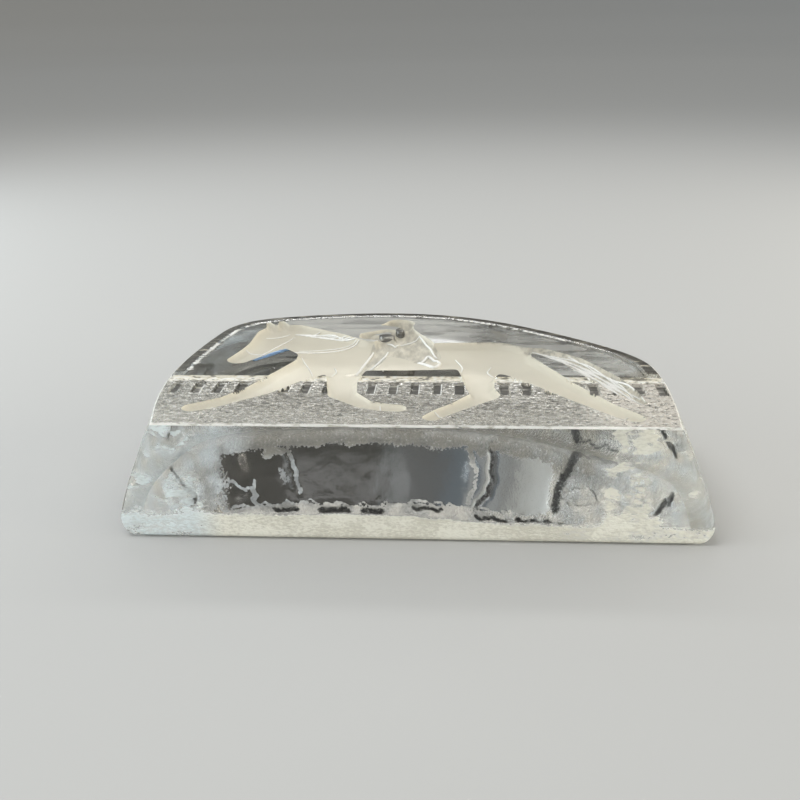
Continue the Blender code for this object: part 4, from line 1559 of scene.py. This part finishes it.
class PAPERWEIGHT_OT_post_edges(bpy.types.Operator):
    """Set the painted highlights on the right edges and feet of the rail's posts"""

    bl_idname = "paperweight.post_edges"
    bl_label = "Post Edges"

    def execute(self, context):
        details = context.scene.detail_sizes
        numbers = np.arange(*POST_NUMBERS)
        right = (POST_PHASE + numbers * POST_PITCH) / UNIT
        foot = (RAIL_HEIGHT - POST_LENGTH - RAIL_DEPTH) / UNIT
        feet = np.column_stack([right, np.full(len(right), foot)])
        outline = drawn_outline()
        clear = np.ones(len(feet), bool)
        for spot in POST_SPOTS:
            spots = feet + spot
            clear &= np.maximum(*figures_inside(spots)) < -0.2
            clear &= line_distance(spots, outline) > 1.5
        clear &= inside_outline(feet, outline)
        radius = details.post_wire / 2
        places = home_places(feet[clear] - (0, 0.4), 0, SLAB_HEIGHT - 1.3 * radius)
        places[:, 2] = SLAB_HEIGHT - 1.3 * radius + BLOCK_LOW[2]
        mesh = bpy.data.meshes.new("posts")
        mesh.from_pydata([tuple(place) for place in places], [], [])
        # The posts' bright edges are painted highlights
        material = chip_material("painted post highlight", details, 0.4, 0.15)
        values = {
            "Post Width": POST_WIDTH,
            "Post Length": POST_LENGTH,
            "Edge Width": details.post_wire,
            "Seed": details.detail_seed,
        }
        grown_piece(context, "post_edges", mesh, post_highlight_tree(material), values)
        return {"FINISHED"}


class PAPERWEIGHT_OT_border_beads(bpy.types.Operator):
    """Set the beads along the border of the crest, pale as painted highlights"""

    bl_idname = "paperweight.border_beads"
    bl_label = "Border Beads"

    def execute(self, context):
        details = context.scene.detail_sizes
        points, outwards = face_outline(OUTLINE_POINTS)
        path = (points - outwards * BEAD_INSET - DRAWING_ORIGIN) / UNIT
        path = path[(path[:, 1] > BEADS_ABOVE) & (path[:, 0] < BEADS_LEFT_OF)]
        height = details.bead_width * 0.33
        places = home_places(path, 0, SLAB_HEIGHT - height / 2)
        mesh = edge_mesh("border", [(places, np.zeros(len(places)), 0)])
        values = {
            "Bead Pitch": details.bead_pitch,
            "Bead Length": details.bead_length,
            "Bead Width": details.bead_width,
            "Bead Height": height,
            "Bead Share": details.bead_share,
            "Seed": details.detail_seed,
        }
        # The beads' pale colour is a painted highlight
        material = chip_material("bead with painted highlight", details, 0.3, 0.08)
        grown_piece(context, "border_beads", mesh, bead_tree(material), values)
        return {"FINISHED"}


class PAPERWEIGHT_OT_turf_grains(bpy.types.Operator):
    """Scatter the cut grains over the turf of the finished block"""

    bl_idname = "paperweight.turf_grains"
    bl_label = "Turf Grains"

    def execute(self, context):
        details = context.scene.detail_sizes
        block = context.scene.objects["engraved_crystal"]
        values = {
            "Grains per Square Metre": details.grains_per_cm * 1.0e4,
            "Grain Length": details.grain_length,
            "Ceiling": SLAB_HEIGHT + BLOCK_LOW[2],
            "Seed": details.detail_seed,
        }
        tree = grain_tree(grain_material(details))
        grown_piece(context, "turf_grains", block.data.copy(), tree, values)
        return {"FINISHED"}


def look_camera(context):
    """Camera at the photograph's angle."""
    data = bpy.data.cameras.new("camera")
    data.lens = 45
    data.sensor_width = 36
    data.clip_start = 0.01
    camera = add_object(context, "camera", data)
    azimuth, elevation, roll = [math.radians(angle) for angle in CAMERA_ANGLES]
    level = math.cos(elevation)
    back = Vector((math.sin(azimuth) * level, -math.cos(azimuth) * level, math.sin(elevation)))
    right = (-back).cross(Vector((0, 0, 1))).normalized()
    up = right.cross(-back)
    rolled_right = right * math.cos(roll) + up * math.sin(roll)
    rolled_up = up * math.cos(roll) - right * math.sin(roll)
    turn = Matrix((rolled_right, rolled_up, back)).transposed()
    place = Vector(CAMERA_AIM) + back * CAMERA_DISTANCE
    camera.matrix_world = Matrix.Translation(place) @ turn.to_4x4()
    context.scene.camera = camera


def dome_light(context, strength):
    """Soft studio dome: cool on the left, warm on the right, with a dim screen far behind."""
    world = bpy.data.worlds.new("soft dome")
    context.scene.world = world
    world.use_nodes = True
    nodes = Nodes(world.node_tree)
    right, back, up = nodes.split(nodes.add("ShaderNodeTexCoord", output="Generated"))
    azimuth = nodes.math("ARCTAN2", right, back)
    sky = nodes.ramp(up, ((0, (0.60, 0.60, 0.60)), (0.75, (0.95, 0.95, 0.95))))
    tints = ((0, (0.78, 0.90, 1.0)), (0.5, (1, 1, 1)), (1, (1.0, 0.94, 0.80)))
    sky = nodes.vector("MULTIPLY", sky, nodes.ramp(nodes.times(right, 0.5, 0.5), tints))

    spread = math.radians(SCREEN_SPREAD)
    panels = [(0.5 + 0.5 * math.radians(angle) / spread, colour) for angle, colour in SCREEN_PANELS]
    screen = nodes.ramp(nodes.times(azimuth, 0.5 / spread, 0.5), panels)
    low, high = [math.radians(angle) for angle in SCREEN_ELEVATIONS]
    half = (high - low) / 2
    away = nodes.math("SUBTRACT", nodes.math("ARCSINE", up), (low + high) / 2)
    within = nodes.smooth(nodes.math("ABSOLUTE", away), half, half * 0.8)
    beside = nodes.smooth(nodes.math("ABSOLUTE", azimuth), spread, spread * 0.85)
    colour = nodes.mixed(nodes.times(within, beside), sky, screen)
    background = world.node_tree.nodes["Background"]
    nodes.feed(background, {"Color": colour, "Strength": strength})


def area_light(context, name, place, size, power, colour=(1, 1, 1)):
    """A rectangular light turned towards the block."""
    data = bpy.data.lights.new(name, "AREA")
    data.shape = "RECTANGLE"
    data.size, data.size_y = size
    data.energy = power
    data.color = colour
    light = add_object(context, name, data)
    light.location = place
    light.rotation_euler = (-Vector(place)).to_track_quat("-Z", "Y").to_euler()


def floor_mesh():
    """A flat disc, bent up at its rim in a few steps."""
    bm = bmesh.new()
    bmesh.ops.create_circle(bm, cap_ends=True, segments=96, radius=FLOOR_RADIUS)
    rim = [edge for edge in bm.edges if edge.is_boundary]
    for rise, reach in FLOOR_RIM:
        made = bmesh.ops.extrude_edge_only(bm, edges=rim)["geom"]
        rim = [thing for thing in made if isinstance(thing, bmesh.types.BMEdge)]
        for vert in [thing for thing in made if isinstance(thing, bmesh.types.BMVert)]:
            flat = Vector((vert.co.x, vert.co.y)).normalized() * reach
            vert.co = (flat.x, flat.y, rise)
    bmesh.ops.recalc_face_normals(bm, faces=bm.faces)
    mesh = bpy.data.meshes.new("floor")
    bm.to_mesh(mesh)
    bm.free()
    mesh.shade_smooth()
    return mesh


class PAPERWEIGHT_OT_stage(bpy.types.Operator):
    """Build the floor, the lights and the camera"""

    bl_idname = "paperweight.stage"
    bl_label = "Stage"

    def execute(self, context):
        stage = context.scene.stage_sizes
        mesh = floor_mesh()
        material, nodes, shader = new_finish("pale floor", 0.9, 0.0, 1.5)
        nodes.feed(shader, {"Base Color": (*stage.floor_colour, 1)})
        mesh.materials.append(material)
        floor = add_object(context, "floor", mesh)
        floor.location.z = BLOCK_LOW[2] - 0.0002
        dome_light(context, stage.light_strength)
        cool, warm = (0.86, 0.95, 1.0), (1.0, 0.95, 0.84)
        area_light(context, "key", (-0.35, -0.1, 0.95), (0.6, 0.6), 5.2)
        area_light(context, "front fill", (0.1, -0.85, 0.30), (0.9, 0.3), 1.5)
        area_light(context, "back strip", (0, 0.62, 0.62), (1.3, 0.08), 2.0)
        area_light(context, "left side", (-0.62, 0.05, 0.10), (0.7, 0.12), 3.8, cool)
        area_light(context, "right side", (0.62, 0.05, 0.10), (0.7, 0.12), 3.8, warm)
        look_camera(context)
        cycles = context.scene.cycles
        cycles.max_bounces = cycles.transmission_bounces = 24
        cycles.glossy_bounces = 12
        cycles.diffuse_bounces = 4
        cycles.caustics_refractive = True
        cycles.caustics_reflective = False
        context.scene.view_settings.view_transform = "Standard"
        return {"FINISHED"}


class PAPERWEIGHT_PT_panel(bpy.types.Panel):
    """Sizes and steps of the paperweight"""

    bl_label = "Paperweight"
    bl_idname = "PAPERWEIGHT_PT_panel"
    bl_space_type = "VIEW_3D"
    bl_region_type = "UI"
    bl_category = "Paperweight"

    def draw(self, context):
        scene = context.scene
        for settings in (scene.crystal_sizes, scene.detail_sizes, scene.stage_sizes):
            for name in settings.__annotations__:
                self.layout.prop(settings, name)
        for step in STEPS:
            self.layout.operator(step.bl_idname)


STEPS = (
    PAPERWEIGHT_OT_crystal_block,
    PAPERWEIGHT_OT_fine_lines,
    PAPERWEIGHT_OT_post_edges,
    PAPERWEIGHT_OT_border_beads,
    PAPERWEIGHT_OT_turf_grains,
    PAPERWEIGHT_OT_stage,
)
CLASSES = (CrystalSizes, DetailSizes, StageSizes, *STEPS, PAPERWEIGHT_PT_panel)


def register():
    for made_class in CLASSES:
        bpy.utils.register_class(made_class)
    bpy.types.Scene.crystal_sizes = PointerProperty(type=CrystalSizes)
    bpy.types.Scene.detail_sizes = PointerProperty(type=DetailSizes)
    bpy.types.Scene.stage_sizes = PointerProperty(type=StageSizes)


def unregister():
    del bpy.types.Scene.crystal_sizes
    del bpy.types.Scene.detail_sizes
    del bpy.types.Scene.stage_sizes
    for made_class in reversed(CLASSES):
        bpy.utils.unregister_class(made_class)


def main():
    """Builds every piece and the stage."""
    register()
    bpy.ops.paperweight.crystal_block()
    bpy.ops.paperweight.fine_lines()
    bpy.ops.paperweight.post_edges()
    bpy.ops.paperweight.border_beads()
    bpy.ops.paperweight.turf_grains()
    bpy.ops.paperweight.stage()


if __name__ == "__main__":
    main()
